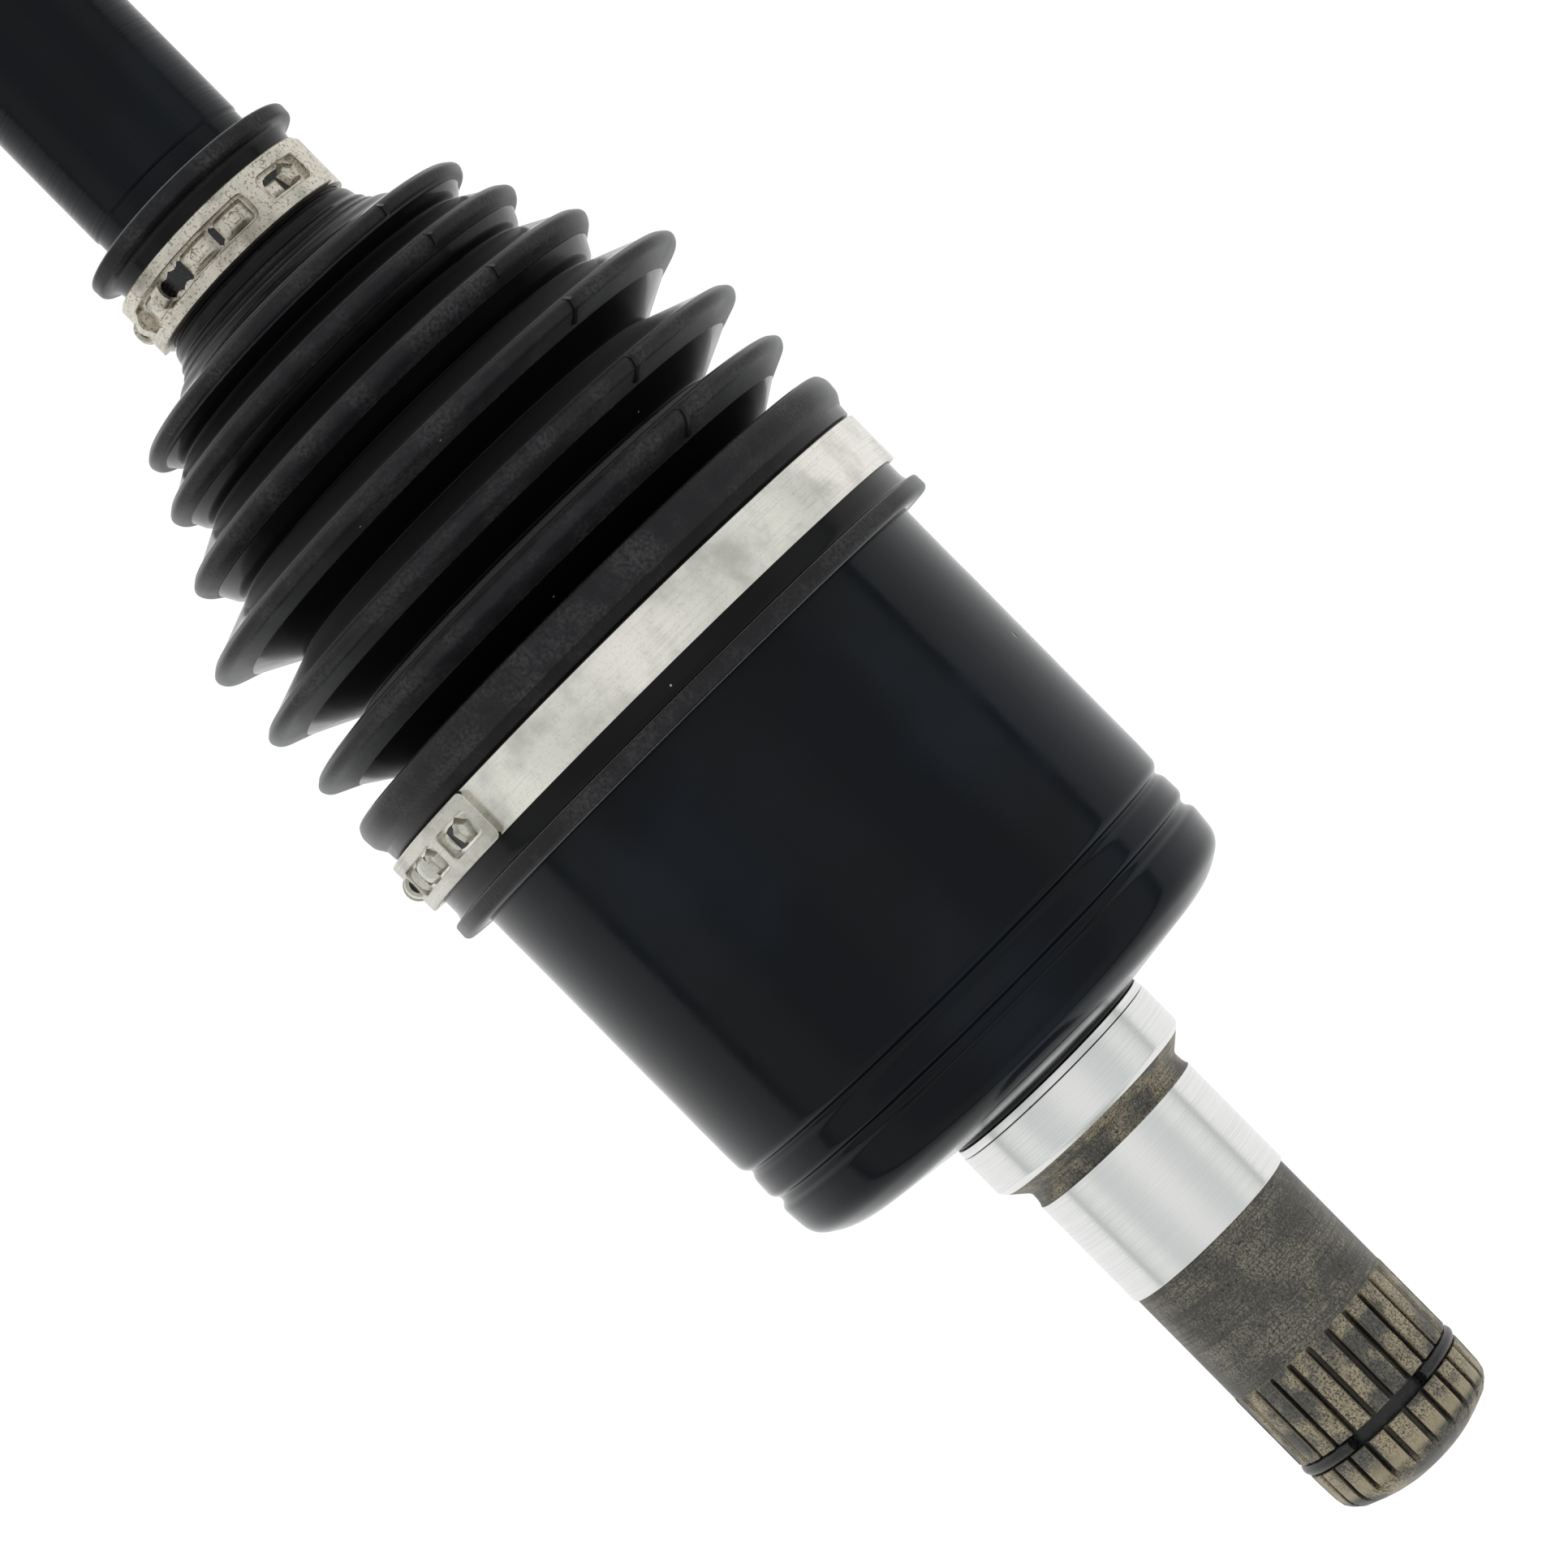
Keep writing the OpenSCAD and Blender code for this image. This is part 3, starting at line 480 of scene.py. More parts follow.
def splinePiece(name, look, stations, teeth, depth, topR):  # stations of (x, r, share of the teeth's depth)
    bm = bmesh.new()
    count = teeth * len(toothPitch)
    made = bmesh.ops.create_circle(bm, segments=count, radius=1)
    loop = sorted(made["verts"], key=lambda v: math.atan2(v.co.y, v.co.x) % (2 * math.pi))
    rings = [loop]
    for _ in stations[1:]:
        loopEdges = [e for e in bm.edges if all(v in set(rings[-1]) for v in e.verts)]
        grown = bmesh.ops.extrude_edge_only(bm, edges=loopEdges)
        fresh = [v for v in grown["geom"] if isinstance(v, bmesh.types.BMVert)]
        rings.append(sorted(fresh, key=lambda v: math.atan2(v.co.y, v.co.x) % (2 * math.pi)))
        bmesh.ops.translate(bm, verts=fresh, vec=(0, 0, 1))
    for verts, (x, outer, share, *floor) in zip(rings, stations):
        for k, v in enumerate(verts):
            turn, cut = toothPitch[k % len(toothPitch)]
            angle = 2 * math.pi * (k // len(toothPitch) + turn) / teeth
            r = min(outer, topR - depth * share * cut) if not floor else floor[0]
            v.co = (x * mm, r * mm * math.sin(angle), r * mm * math.cos(angle))
    for edgeRing in (rings[0], rings[-1]):
        inRing = set(edgeRing)
        bmesh.ops.contextual_create(bm, geom=[e for e in bm.edges if all(v in inRing for v in e.verts)])
    return finishMesh(bm, name, [look], 30)


def stubStations():
    clipLow, clipHigh = tipX + 8.95, tipX + 11.05
    run = inboardSpline["runOut"]
    fade = [(splineEnd - run * u, 12.95 + 0.1 * min(1, 4 * u), math.sqrt(max(0, 1 - (1 - u) ** 2)))
            for u in (0.04, 0.12, 0.25, 0.4, 0.6, 0.8, 1)]
    tipCurve = [(tipX + 7.2, 12.98), (tipX + 4.6, 12.85), (tipX + 3.4, 12.6), (tipX + 2.7, 12.1),
                (tipX + 1.9, 11.2), (tipX + 1.0, 9.2), (tipX + 0.4, 7.6), (tipX, 6.2), (tipX, 3.4)]
    clip = inboardSpline["clipR"]
    return [(splineEnd + 0.02, 12.9, 0), *fade, (clipHigh + 3, 13.05, 1), (clipHigh + 0.12, 13.05, 1),
            (clipHigh, 12.9, 1), (clipHigh, 0, 0, clip), (clipLow, 0, 0, clip), (clipLow, 12.9, 1),
            (clipLow - 0.12, 13.02, 1), *[(x, r, 1) for x, r in tipCurve],
            (tipX + 5, 0, 0, 1.2), (tipX + 9, 0, 0, 1.2), (tipX + 9.5, 0, 0, 0.3)]


stubSpline = splinePiece("inboardSpline", "spline", stubStations(), inboardSpline["teeth"],
                         inboardSpline["depth"], inboardSpline["r"])
# painted shade: the circlip groove's floor is black all round
lookByPlace(stubSpline, [("wire", tipX + 8.96, tipX + 11.04)], inboardSpline["clipR"] - 1)
place(stubSpline, "inboard_housing", "phosphate_steel", "inboard_outer_race")
print("inboard stub and spline made")

# boots

inboardBoot = {
    "crests": [(22.5, 28.1), (29.5, 31.0), (38.3, 35.4), (48.3, 41.5), (58.7, 42.1), (67.6, 41.9)],
    "valleys": [(25.4, 24.2), (33.6, 27.0), (43.3, 30.7), (53.8, 30.9), (64.4, 30.7), (74.2, 31.4)],
    "seam": 3, "bandX": 13.4, "shoulder": 8,
}
outboardBoot = {
    "crests": [(24, 26), (34, 30.5), (44.2, 35), (54.6, 39.5), (64.6, 42.6)],
    "valleys": [(29, 21), (39, 24.5), (49.4, 28), (59.6, 31.5), (70.4, 34)],
    "bandX": 13.4, "shoulder": 8,
}
mattShare = 0.42  # the share of a fold's flank that is matt
smallEnd = {"boreR": 12.42, "seatR": 14.6, "lipR": 17.1, "lipW": 2.6, "bandX": 5.4, "bandW": 7.9}


def smallEndCorners():
    seat, lipW = smallEnd["seatR"], smallEnd["lipW"]
    seatEnd = smallEnd["bandX"] + smallEnd["bandW"] + 0.5
    return [
        (0.05, smallEnd["boreR"], 0, 0), (0, seat + 0.9, 0.4, 1), (0.5, smallEnd["lipR"], 0.5, 1),
        (lipW - 0.2, smallEnd["lipR"] - 0.1, 0.5, 1), (lipW + 0.3, seat + 0.5, 0.5, 0.4),
        (lipW + 1.6, seat + 0.15, 0.5, 0), (seatEnd, seat, 0.2, 0), (seatEnd + 0.5, seat + 0.8, 0.4, 0.6),
        (15.2, seat + 1.1, 0.4, 0.2), (15.9, seat + 1.2, 0.3, 0), (16.6, seat + 1.9, 0.4, 0.7),
        (17.1, seat + 1.9, 0.3, 0), (17.6, seat + 2.6, 0.4, 0.7), (18, seat + 2.7, 0.3, 0),
        (18.6, seat + 4.2, 0.6, 0.5),
        (20, seat + 5.6, 1.2, 0),
    ]


def foldCorners(boot, first, last):  # the outside of the folds, from the small end on
    corners = []
    for (x, r), (valleyX, valleyR) in list(zip(boot["crests"], boot["valleys"]))[first:last]:
        drop = min(4.2, (r - valleyR) * 0.42)
        flank = valleyX - x
        corners += [
            (x - 1.5, r - 2.4, 0.8, 0), (x - 1.2, r - 1.4, 0.3, 0), (x - 1.1, r - 1.1, 0.5, 1),
            (x - 0.2, r, 0.9, 1), (x + 1.1, r - 0.6, 1.1, 1), (x + flank * mattShare, r - drop, 0.6, 1),
            (x + flank * mattShare + 0.12, r - drop - 0.3, 0.1, 0),
            (valleyX - 0.5, valleyR + 1.2, 1.2, 0),
            (valleyX, valleyR, 0.45, 0), (valleyX + 0.5, valleyR + 1.1, 1.2, 0),
        ]
    return corners


def liningCorners(boot, first, last):  # the inside of the folds, from the large end back
    corners = []
    for (x, r), (valleyX, valleyR) in reversed(list(zip(boot["crests"], boot["valleys"]))[first:last]):
        corners += [(valleyX, valleyR - 2.1, 0.9, 0), (x, r - 3.6, 1.6, 0)]
    return corners


def largeEndCorners(boot, length, seatR):
    bandStart = length - boot["bandX"] - 0.3
    shoulderX = bandStart - boot["shoulder"]
    outer = seatR + 2.5
    return [
        (shoulderX + 1.3, outer + 0.9, 0.7, 0), (shoulderX + 1.7, outer + 1.4, 0.4, 1),
        (shoulderX + 2.8, outer + 1.9, 1.0, 1), (shoulderX + 4.8, outer + 1.75, 1.0, 1),
        (shoulderX + 6.0, outer + 0.95, 0.4, 1), (shoulderX + 6.3, outer + 0.8, 0.2, 0.3),
        (bandStart - 0.2, outer + 0.7, 0.3, 0.4), (bandStart, outer, 0.2, 0.2),
        (length - 3.4, outer, 0.5, 0), (length - 2.6, outer + 0.25, 0.3, 0),
        (length - 2.4, outer + 1.4, 0.4, 1), (length - 0.5, outer + 1.5, 0.4, 1),
        (length, outer + 1, 0.3, 1), (length, seatR, 0, 0), (bandStart - 1.2, seatR, 0.4, 0),
        (bandStart - 2, seatR + 1.2, 0.6, 0), (shoulderX + 3.2, seatR + 1, 0.8, 0),
    ]


partingAt = -37  # degrees from the top of the axle
tickSpan = 35  # a tick's width in degrees, times its radius in mm
seamWall = 1.1  # thin enough to clear the bar when bent


def partingTicks(bm, boot, first, last, toRow, degrees):  # small ridges where the mould parted
    for (x, r), (valleyX, valleyR) in list(zip(boot["crests"], boot["valleys"]))[first:last]:
        flank = (valleyX - x) * mattShare
        section = [(x - 1.1, r - 1.6), (x - 0.9, r - 0.75), (x - 0.1, r + 0.22), (x + 1.1, r - 0.32),
                   (x + flank, r - 2.6), (x + flank - 0.4, r - 3.4)]
        ring(bm, [(toRow(px), pr, 0.6) for px, pr in section], 1, True, degrees, tickSpan / r)


def bootPiece(name, boot, first, last, length, seatR, toRow):
    valleys = boot["valleys"]
    corners = []
    if first:  # starts at the seam, in the bottom of a valley
        x, r = valleys[first - 1]
        corners += [(x, r - seamWall, 0, 0), (x, r, 0, 0), (x + 0.5, r + 1.1, 0.9, 0)]
    else:
        corners += smallEndCorners()
    corners += foldCorners(boot, first, last)
    if last < len(valleys):
        corners = corners[:-2]
        x, r = valleys[last - 1]
        corners += [(x, r, 0, 0), (x, r - seamWall, 0, 0)]
        corners += liningCorners(boot, first, last)[1:]
    else:
        corners += largeEndCorners(boot, length, seatR)
        corners += liningCorners(boot, first, last)
    if not first:
        corners += [(19.3, smallEnd["seatR"] + 1.2, 0.8, 0), (15, smallEnd["boreR"], 0.8, 0)]
    bm = bmesh.new()
    ring(bm, [(toRow(x), r, m) for x, r, m in rounded(corners, 5)], 144)
    for degrees in (partingAt, partingAt + 180):
        partingTicks(bm, boot, first, last, toRow, degrees)
    return finishMesh(bm, name, ["rubber"])


bootLow, bootHigh = along("inboard_boot")
inLength = bootHigh - bootLow
seam = inboardBoot["seam"] + 1
inSeatR = cupR + 0.12
smallPart = bootPiece("inboardBootSmallEnd", inboardBoot, 0, seam, inLength, inSeatR, lambda x: bootHigh - x)
largePart = bootPiece("inboardBootLargeEnd", inboardBoot, seam, 6, inLength, inSeatR, lambda x: bootHigh - x)
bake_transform(smallPart)
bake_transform(largePart)

outLow, outHigh = along("outboard_boot")
bellR = reach("outboard_outer_race")
outboardBellows = bootPiece("outboardBoot", outboardBoot, 0, 5, outHigh - outLow, bellR + 0.12,
                            lambda x: outLow + x)
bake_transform(outboardBellows)
for bellows, node in ((smallPart, "inboard_boot"), (largePart, "inboard_boot"),
                      (outboardBellows, "outboard_boot")):
    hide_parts(node)

# clamps: a band all round, with a flat strip of windows, teeth and loops laid over it

# places on the strip are (u, v): u mm along it from its looped end, v mm across it
# a pillow's last number picks its look: 1 is a black pad, painted shade in a window or in the gap between
# loops; 0 is a steel tooth
smallClamp = {
    "plate": (-0.3, 44, 0, 7.9, 1), "windows": [(33, 40.9, 2, 5.9, 0.8), (5.9, 30.7, 2, 5.9, 1)],
    "pillows": [(33, 40.9, 2, 5.9, 0.12, 1), (5.9, 30.7, 2, 5.9, 0.12, 1), (33.5, 36, 2.4, 4.6, 0.6, 0),
                (25, 30.2, 2.2, 5.7, 0.95, 0), (18.6, 24.2, 2.2, 5.7, 0.95, 0),
                (8.2, 12.8, 2.3, 5.6, 0.55, 0)],
    "teeth": [(38, 4, 1.9, 0.95), (27.8, 4, 1.2, 1.05), (21.2, 4, 1.3, 1.05)],
    "arches": [(12.6, 14.4, 3.95, 1.8, 0.55), (4.0, 6.2, 3.95, 1.6, 0.5), (-0.2, 2.1, 3.95, 1.95, 0.6)],
    "looks": ["speckled", "wire", "speckled"],
}
largeClamp = {
    "plate": (-0.7, 36.4, 0, 7.6, 1), "windows": [(26.6, 34.7, 1.8, 5.8, 0.9), (10.3, 24.9, 1.8, 5.8, 0.9)],
    "pillows": [(26.6, 34.7, 1.8, 5.8, 0.12, 1), (10.3, 24.9, 1.8, 5.8, 0.12, 1),
                (29.2, 34.3, 2, 5.6, 0.2, 0), (19.4, 24.3, 2, 5.6, 0.2, 0), (27.4, 28.2, 2.2, 5.4, 0.55, 0),
                (15.4, 19, 1.8, 5.8, 1.1, 0), (12.2, 13, 1.9, 5.7, 0.7, 0), (11.2, 11.9, 1.9, 5.7, 0.7, 0),
                (10.4, 11, 1.9, 5.7, 0.7, 0), (4.6, 6.2, 2, 5.6, 1, 1)],
    "teeth": [(31.6, 3.8, 2, 0.95), (21.9, 3.8, 2, 0.95)],
    "arches": [(6.2, 8.8, 3.8, 1.9, 0.5), (-0.2, 4.2, 3.8, 2.1, 0.7)],
    "looks": ["plate", "wire", "strip"],
}
strip = {"thick": 0.9, "edge": 0.14, "sunk": 0.06, "start": 91, "step": 2.5, "cornerSteps": 4}


def stripLoop(bm, box, draw, height):  # the edges of a rounded rectangle, drawn in by draw
    left, right, near, far, corner = box
    corner = corner - draw
    edges, points = [], []
    centres = ((right - draw, far - draw, -1, -1), (left + draw, far - draw, 1, -1),
               (left + draw, near + draw, 1, 1), (right - draw, near + draw, -1, 1))
    for i, (u, v, su, sv) in enumerate(centres):
        for k in range(strip["cornerSteps"] + 1):
            a = math.pi / 2 * (i + k / strip["cornerSteps"])
            spot = (u + corner * (su + math.cos(a)), v + corner * (sv + math.sin(a)), height)
            points.append(bm.verts.new(spot))
    for pair in zip(points, [*points[1:], points[0]]):
        edges.append(bm.edges.new(pair))
    return edges


def stripPlate(bm, plan):
    rims = []
    for i, box in enumerate([plan["plate"], *plan["windows"]]):
        draw = -strip["edge"] if i else strip["edge"]
        foot = stripLoop(bm, box, 0, -strip["sunk"])
        side = stripLoop(bm, box, 0, strip["thick"] - strip["edge"])
        rim = stripLoop(bm, box, draw, strip["thick"])
        bmesh.ops.bridge_loops(bm, edges=foot + side)
        bmesh.ops.bridge_loops(bm, edges=side + rim)
        rims += rim
    bmesh.ops.triangle_fill(bm, edges=rims, use_beauty=True, normal=(0, 0, 1))


def pillow(bm, left, right, near, far, high, look):  # a bump pressed up in the strip; with look 1 it is a black pad of painted shade
    made = bmesh.ops.create_grid(bm, x_segments=12, y_segments=8, size=1)
    for v in made["verts"]:
        p, q = v.co.x, v.co.y
        rise = (1 - abs(p) ** 3) * (1 - abs(q) ** 3)
        v.co = ((left + right + p * (right - left)) / 2, (near + far + q * (far - near)) / 2,
                high * rise - strip["sunk"])
    for face in {f for v in made["verts"] for f in v.link_faces}:
        face.material_index = look


def crown(bm, u, v, r, high):  # a five-sided tooth with a hollow top
    made = bmesh.ops.create_cone(bm, cap_ends=True, segments=5, radius1=r, radius2=r * 0.74, depth=high,
                                 matrix=Matrix.Translation((u, v, high / 2 - strip["sunk"])))
    faces = {f for p in made["verts"] for f in p.link_faces}
    top = max(faces, key=lambda f: f.calc_center_median().z)
    bmesh.ops.inset_individual(bm, faces=[top], thickness=r * 0.2, depth=-high * 0.55)


def arch(bm, left, right, v, r, wall):  # a loop that stands over the strip, with a black plug inside as painted shade
    section = [(left, r - wall), (right, r - wall), (right, r), (left, r)]
    points = [bm.verts.new((u, v + out, -strip["sunk"])) for u, out in section]
    edges = [bm.edges.new(pair) for pair in zip(points, [*points[1:], points[0]])]
    bmesh.ops.spin(bm, geom=[*points, *edges, bm.faces.new(points)], cent=(0, v, -strip["sunk"]),
                   axis=(1, 0, 0), angle=math.pi, steps=14)
    lying = Matrix.Translation(((left + right) / 2, v, 0)) @ Matrix.Rotation(math.pi / 2, 4, "Y")
    # painted shade: a black plug fills the loop's hollow
    plug = bmesh.ops.create_cone(bm, cap_ends=True, segments=28, radius1=r - wall * 0.5,
                                 radius2=r - wall * 0.5, depth=(right - left) * 0.5, matrix=lying)
    for face in {f for p in plug["verts"] for f in p.link_faces}:
        face.material_index = 1


def clampPiece(name, node, plan, body):
    low, high = along(node)
    bandR = reach(node)
    bm = bmesh.new()
    stripPlate(bm, plan)
    bend = bandR * math.radians(strip["step"])
    for i in range(math.ceil(plan["plate"][0] / bend), math.ceil(plan["plate"][1] / bend)):
        bmesh.ops.bisect_plane(bm, geom=[*bm.verts, *bm.edges, *bm.faces], dist=1e-5,
                               plane_co=(i * bend, 0, 0), plane_no=(1, 0, 0))
    for settings in plan["pillows"]:
        pillow(bm, *settings)
    for settings in plan["teeth"]:
        crown(bm, *settings)
    for settings in plan["arches"]:
        arch(bm, *settings)
    across = (high - low) / plan["plate"][3]
    for v in bm.verts:  # lays the flat strip around the band
        turn = math.radians(strip["start"]) - v.co.x / (bandR + strip["thick"] / 2)
        r = (bandR + v.co.z) * mm
        v.co = ((low + v.co.y * across) * mm, r * math.sin(turn), r * math.cos(turn))
    inner = bandR - strip["thick"]
    laid = set(bm.faces)
    middle = (low, (inner + bandR) / 2, 0)
    ring(bm, rounded([middle, (low, bandR, 0.15), (high, bandR, 0.15), (high, inner, 0.15),
                      (low, inner, 0.15), middle], 3)[:-1], 160)
    for face in bm.faces:
        if face not in laid:
            face.material_index = 2
    piece = finishMesh(bm, name, plan["looks"])
    place(piece, body, "clamp_steel", node)


for side, housing in (("inboard", "inboard_housing"), ("outboard", "outboard_housing")):
    clampPiece(side + "LargeClamp", side + "_boot_large_clamp", largeClamp, housing)
    clampPiece(side + "SmallClamp", side + "_boot_small_clamp", smallClamp, "shaft")
print("clamps made")

# outboard bell and its stub

bell = {"mouth": 17, "back": 38, "boreR": 30.6, "flareR": 31.5, "neck": 4, "collarR": 22, "collar": 3,
        "ballCircle": 27, "grooveR": 8.89, "journalR": 15, "journal": 20, "spline": 32, "threadR": 10}
bellX, hubEnd = along("outboard_outer_race")
bellCentre = bellX + bell["mouth"]
bellBack = bellCentre + bell["back"]
hubShoulder = bellBack + bell["collar"]
hubJournalEnd = hubShoulder + bell["journal"]
hubSplineEnd = hubJournalEnd + bell["spline"]


def bellOutline():
    bore, c, b = bell["boreR"], bellCentre, bellBack
    throat = bell["mouth"] - bell["neck"]
    inside = [math.atan2(math.sqrt(bore ** 2 - throat ** 2), -throat) * (1 - k / 20) for k in range(21)]
    return rounded([
        (bellX, bell["flareR"], 0), (bellX, bellR - 1, 0.3), (bellX + 1, bellR, 0.5), (c + 6, bellR, 3),
        (c + 20, bellR - 2.5, 6), (b - 10, bellR - 6, 5), (b - 3.4, bellR - 12, 3), (b - 1, bellR - 15, 1.5),
        (b, bell["collarR"] + 1, 0.8), (b + 0.1, bell["collarR"], 0.3),
        (hubShoulder, bell["collarR"] - 0.4, 0.3), (hubShoulder, 0, 0),
    ]) + [(c + bore * math.cos(a), bore * math.sin(a), 0) for a in reversed(inside)]


def curvedCutter(turn):  # the path of a ball in the bell, as part of a ring about the bell's centre
    bm = bmesh.new()
    frameAt = Matrix.Translation((bellCentre * mm, 0, 0)) @ Matrix.Rotation(turn, 4, "X")
    circle = bmesh.ops.create_circle(bm, cap_ends=True, segments=32, radius=bell["grooveR"] * mm,
                                     matrix=frameAt @ Matrix.Rotation(math.radians(-40), 4, "Y")
                                     @ Matrix.Translation((0, 0, bell["ballCircle"] * mm))
                                     @ Matrix.Rotation(math.pi / 2, 4, "Y"))
    face = circle["verts"][0].link_faces[0]
    across = frameAt.to_3x3() @ Vector((0, 1, 0))
    bmesh.ops.spin(bm, geom=[face, *face.verts, *face.edges], cent=(bellCentre * mm, 0, 0), axis=across,
                   angle=math.radians(85), steps=24)
    return finishMesh(bm, "curvedCutter", ["gloss"])


outboardBell = lathe("outboardBell", bellOutline(), ["gloss"], 176)
for i in range(ballCount):
    cutAway(outboardBell, curvedCutter(math.radians(360 / ballCount * i)))
place(outboardBell, "outboard_housing", "black_paint", "outboard_outer_race")
print("outboard bell carved")

ringLow, ringHigh = along("outboard_dust_ring")
ringR = reach("outboard_dust_ring")
flangeEnd = ringLow + 1.2
dustRing = lathe("dustRing", rounded([
    (ringLow, bellR + 0.1, 0), (ringLow, ringR, 0.3), (flangeEnd, ringR, 0.3), (flangeEnd, bellR + 1, 0.5),
    (ringHigh, bellR + 1, 0.4), (ringHigh, bellR + 0.1, 0),
]), ["gloss"], 176)
place(dustRing, "outboard_housing", "black_paint", "outboard_dust_ring")


def hubOutline():
    j, root = bell["journalR"], bell["threadR"] - 0.95
    return rounded([
        (hubShoulder - 0.5, 0, 0), (hubShoulder - 0.5, j + 2, 0), (hubShoulder + 0.05, j + 2, 0.1),
        (hubShoulder + 0.1, j - 0.2, 0.1), (hubShoulder + 1.4, j - 0.2, 0.1), (hubShoulder + 1.5, j, 0.1),
        (hubJournalEnd - 0.6, j, 0.2), (hubJournalEnd, j - 0.7, 0.1), (hubJournalEnd + 0.1, 13.3, 0.1),
        (hubJournalEnd + 2, 13.3, 0.1), (hubJournalEnd + 2.2, 12, 0), (hubSplineEnd - 1, 12, 0),
        (hubSplineEnd - 0.6, root, 0.1), (hubEnd - 1.2, root, 0.1), (hubEnd, root - 1, 0.2),
        (hubEnd, 3.4, 0.3), (hubEnd - 4, 1.2, 0), (hubEnd - 4.6, 0, 0),
    ])


hubStub = lathe("outboardStub", hubOutline(), ["oxide"], 144, False)
lookByPlace(hubStub, [("ground", hubShoulder + 1.3, hubJournalEnd - 0.5)])
place(hubStub, "outboard_housing", "ground_steel", "outboard_outer_race")

runOut = [(hubJournalEnd + 1.2 + 3 * u, 13.33 + 0.15 * min(1, 4 * u), math.sqrt(max(0, 1 - (1 - u) ** 2)))
          for u in (0.04, 0.12, 0.25, 0.4, 0.6, 0.8, 1)]
hubTeeth = {"teeth": 24, "depth": 1.2, "r": 13.5}
hubStations = [(hubSplineEnd, 0, 0, 9.2), (hubSplineEnd, 11.6, 1), (hubSplineEnd - 0.2, 12.2, 1),
               (hubSplineEnd - 1.2, hubTeeth["r"], 1), (hubJournalEnd + 12, hubTeeth["r"], 1),
               *reversed(runOut), (hubJournalEnd + 1.1, 13.3, 0), (hubJournalEnd + 1.05, 0, 0, 11.5)]
hubSpline = splinePiece("hubSpline", "hubSpline", hubStations, hubTeeth["teeth"], hubTeeth["depth"],
                        hubTeeth["r"])
place(hubSpline, "outboard_housing", "phosphate_steel", "outboard_outer_race")

thread = {"pitch": 1.5, "perTurn": 40, "root": 9, "chamfer": 1.6}


def threadPiece():
    bm = bmesh.new()
    pitch, perTurn = thread["pitch"], thread["perTurn"]
    start = hubSplineEnd + 1
    turns = int((hubEnd - 0.3 - start) / pitch) - 1
    section = [(0, thread["root"]), (0.42, bell["threadR"]), (0.58, bell["threadR"]), (1, thread["root"])]
    points = [bm.verts.new(((start + share * pitch) * mm, 0, r * mm)) for share, r in section]
    edges = [bm.edges.new(pair) for pair in zip(points, points[1:])]
    bmesh.ops.spin(bm, geom=[*points, *edges], cent=(0, 0, 0), axis=(1, 0, 0),
                   dvec=(pitch * mm / perTurn, 0, 0), angle=math.radians(360 * turns), steps=turns * perTurn)
    for v in bm.verts:  # the point of the thread is chamfered
        r = math.hypot(v.co.y, v.co.z)
        most = (bell["threadR"] + 0.2 - max(0, v.co.x / mm - hubEnd + thread["chamfer"])) * mm
        if r > most:
            v.co.y, v.co.z = v.co.y * most / r, v.co.z * most / r
    return finishMesh(bm, "hubThread", ["turned"], 25)


place(threadPiece(), "outboard_housing", "phosphate_steel", "outboard_outer_race")
print("outboard stub made")

# CAD nodes that keep their shape and take a better finish

cadLooks = {"cage": "bearing", "inner_race": "bearing", "ball": "bearing", "snap_ring": "wire",
            "stop_ring": "wire", "stopper_ring": "bearing", "circlip": "wire", "bar_shaft": "bar",
            "dust_ring": "gloss", "hub_": "zinc", "cotter": "zinc", "outboard_outer_race": "gloss",
            "clamp": "strip", "boot": "rubber", "inboard_outer_race": "gloss"}
for name, node in nodes.items():
    look = next(look for word, look in cadLooks.items() if word in name)
    node.data.materials.clear()
    node.data.materials.append(finish[look])

# camera, light and floor

camera = {"lens": 113, "sensor": 36, "height": 637, "turn": 225.3, "aside": (62, -1.5)}
studio = {
    "backdrop": 1.05,
    "above": [(0.0, (1.0, 1.0, 1.0)), (0.42, (0.95, 0.97, 0.96)), (0.5, (0.30, 0.32, 0.32)),
              (0.56, (0.80, 0.83, 0.81)), (0.72, (0.95, 0.96, 0.95)), (0.84, (0.72, 0.74, 0.74)),
              (0.95, (0.80, 0.81, 0.81)), (1.0, (0.98, 0.98, 0.98))],
    "floorGlow": 0.93, "floorTone": 0.12, "floorHalf": 3000, "floorDrop": 75,
}


def makeCamera():
    lens = bpy.data.cameras.new("camera")
    lens.lens = camera["lens"]
    lens.sensor_width = camera["sensor"]
    lens.clip_end = 20
    eye = bpy.data.objects.new("camera", lens)
    x, y = camera["aside"]
    eye.location = (x * mm, y * mm, camera["height"] * mm)
    eye.rotation_euler = (0, 0, math.radians(camera["turn"]))
    scene.collection.objects.link(eye)
    scene.camera = eye


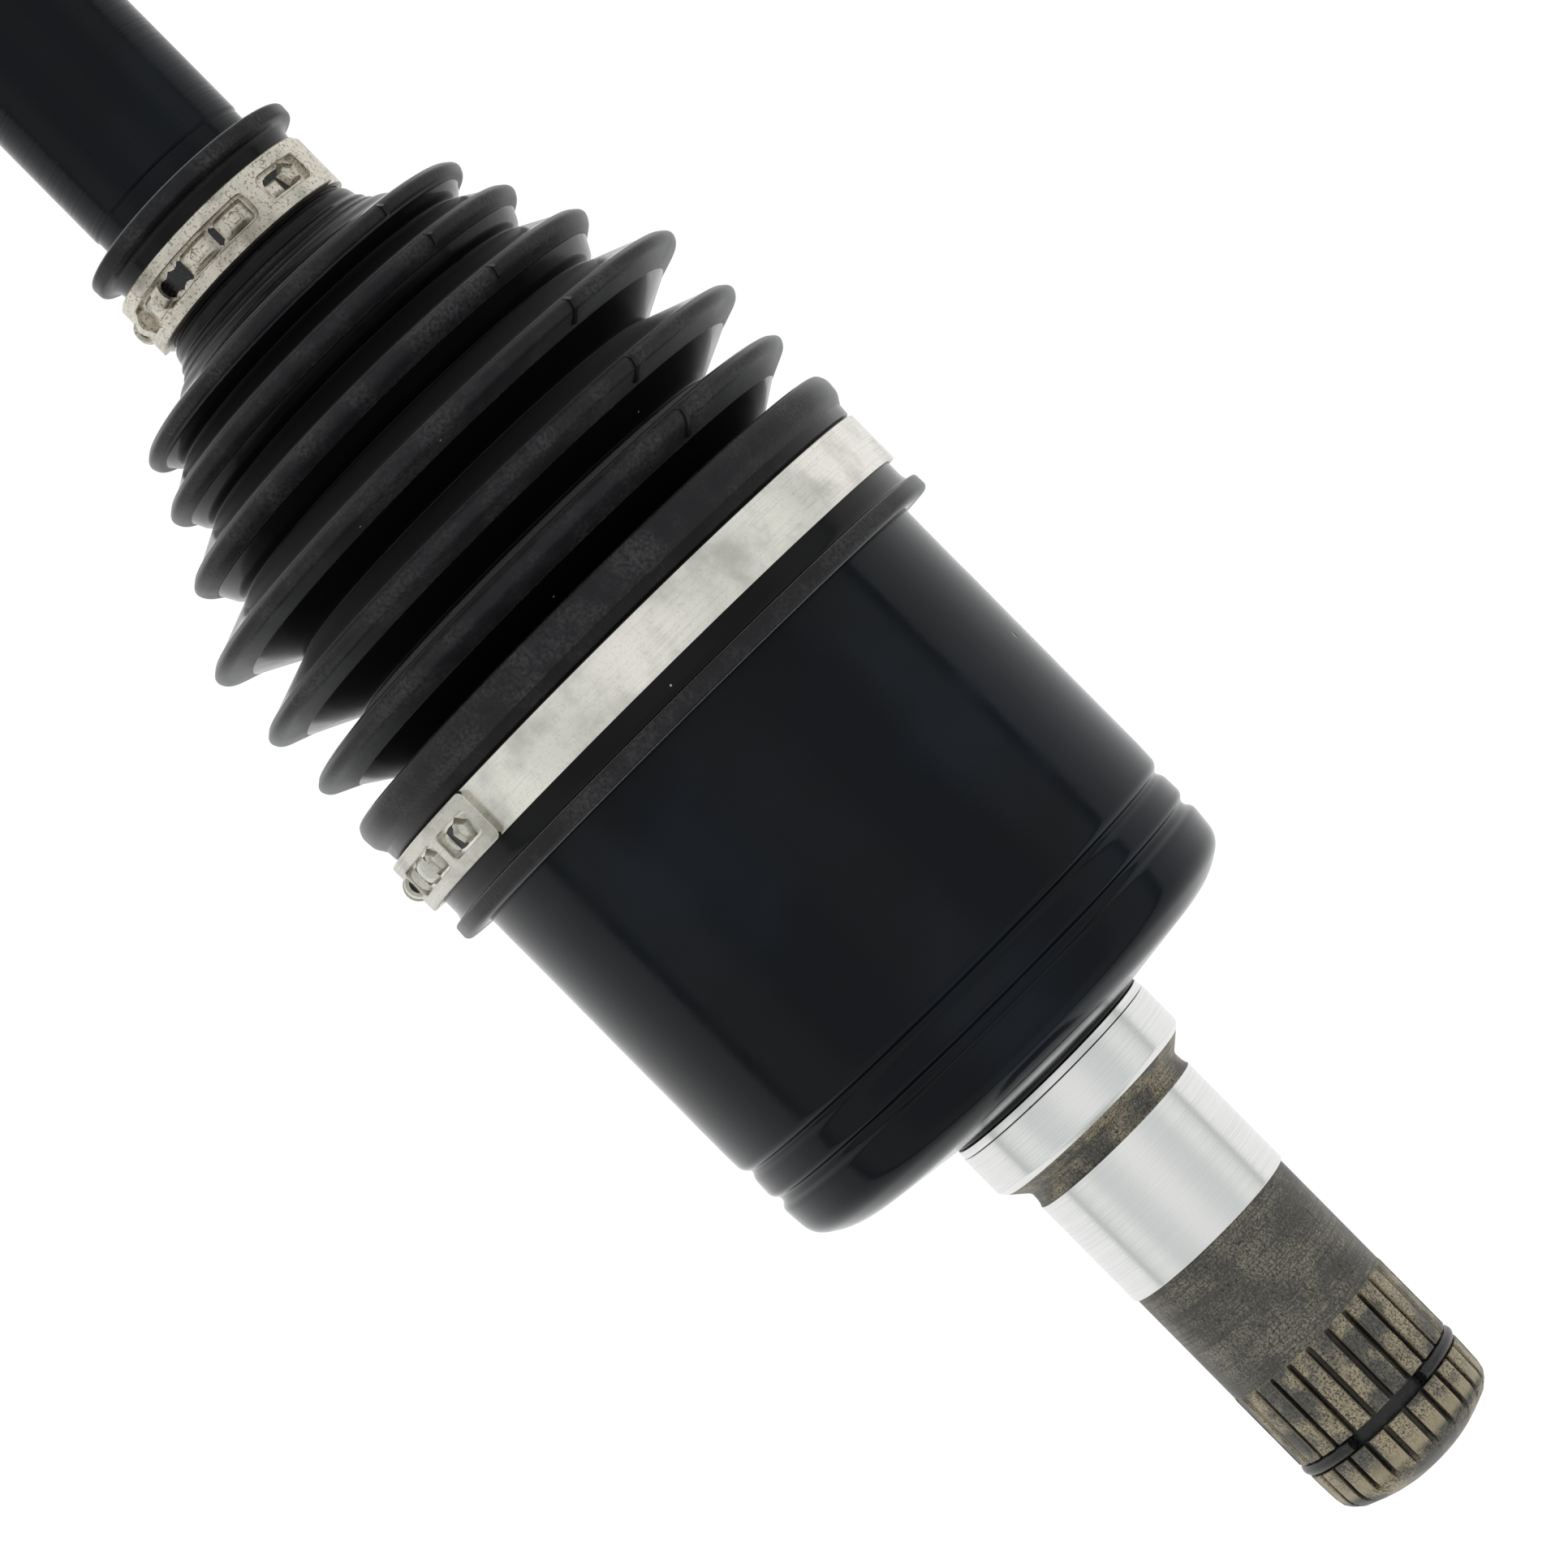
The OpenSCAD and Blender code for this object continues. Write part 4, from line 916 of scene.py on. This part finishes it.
def makeStudio():
    world = bpy.data.worlds.new("studio")
    world.use_nodes = True
    scene.world = world
    tree = world.node_tree
    tent = tree.nodes["Background"]
    plain = tree.nodes.new("ShaderNodeBackground")
    plain.inputs[1].default_value = studio["backdrop"]
    plain.inputs[0].default_value = (1, 1, 1, 1)
    where = tree.nodes.new("ShaderNodeTexCoord")
    split = tree.nodes.new("ShaderNodeSeparateXYZ")
    lift = tree.nodes.new("ShaderNodeMapRange")
    lift.inputs[1].default_value = -1
    ramp = tree.nodes.new("ShaderNodeValToRGB")
    fillRamp(ramp.color_ramp, studio["above"])
    path = tree.nodes.new("ShaderNodeLightPath")
    mix = tree.nodes.new("ShaderNodeMixShader")
    out = tree.nodes["World Output"]
    for a, b in ((where.outputs["Generated"], split.inputs[0]), (split.outputs[2], lift.inputs[0]),
                 (lift.outputs[0], ramp.inputs[0]), (ramp.outputs[0], tent.inputs[0]),
                 (path.outputs["Is Camera Ray"], mix.inputs[0]), (tent.outputs[0], mix.inputs[1]),
                 (plain.outputs[0], mix.inputs[2]), (mix.outputs[0], out.inputs[0])):
        tree.links.new(a, b)
    scene.view_settings.view_transform = "Standard"


def makeFloor():
    bm = bmesh.new()
    height = cadBox[0].z - studio["floorDrop"] * mm
    bmesh.ops.create_grid(bm, x_segments=1, y_segments=1, size=studio["floorHalf"] * mm,
                          matrix=Matrix.Translation((0, 0, height)))
    paint = Paint("paleFloor")
    tone = studio["floorTone"]
    glow = paint.node("ShaderNodeEmission", {}, {0: (1, 1, 1, 1), 1: studio["floorGlow"]})
    paper = paint.node("ShaderNodeBsdfDiffuse", {}, {0: (tone, tone, tone, 1)})
    lit = paint.node("ShaderNodeAddShader", {}, {0: glow, 1: paper})
    clear = paint.node("ShaderNodeBsdfTransparent")
    under = paint.node("ShaderNodeNewGeometry", output="Backfacing")
    both = paint.node("ShaderNodeMixShader", {}, {0: under, 1: lit, 2: clear})
    paint.feed(paint.tree.nodes["Material Output"].inputs[0], both)
    finish["floor"] = paint.material
    finishMesh(bm, "floor", ["floor"])


makeCamera()
makeStudio()
makeFloor()
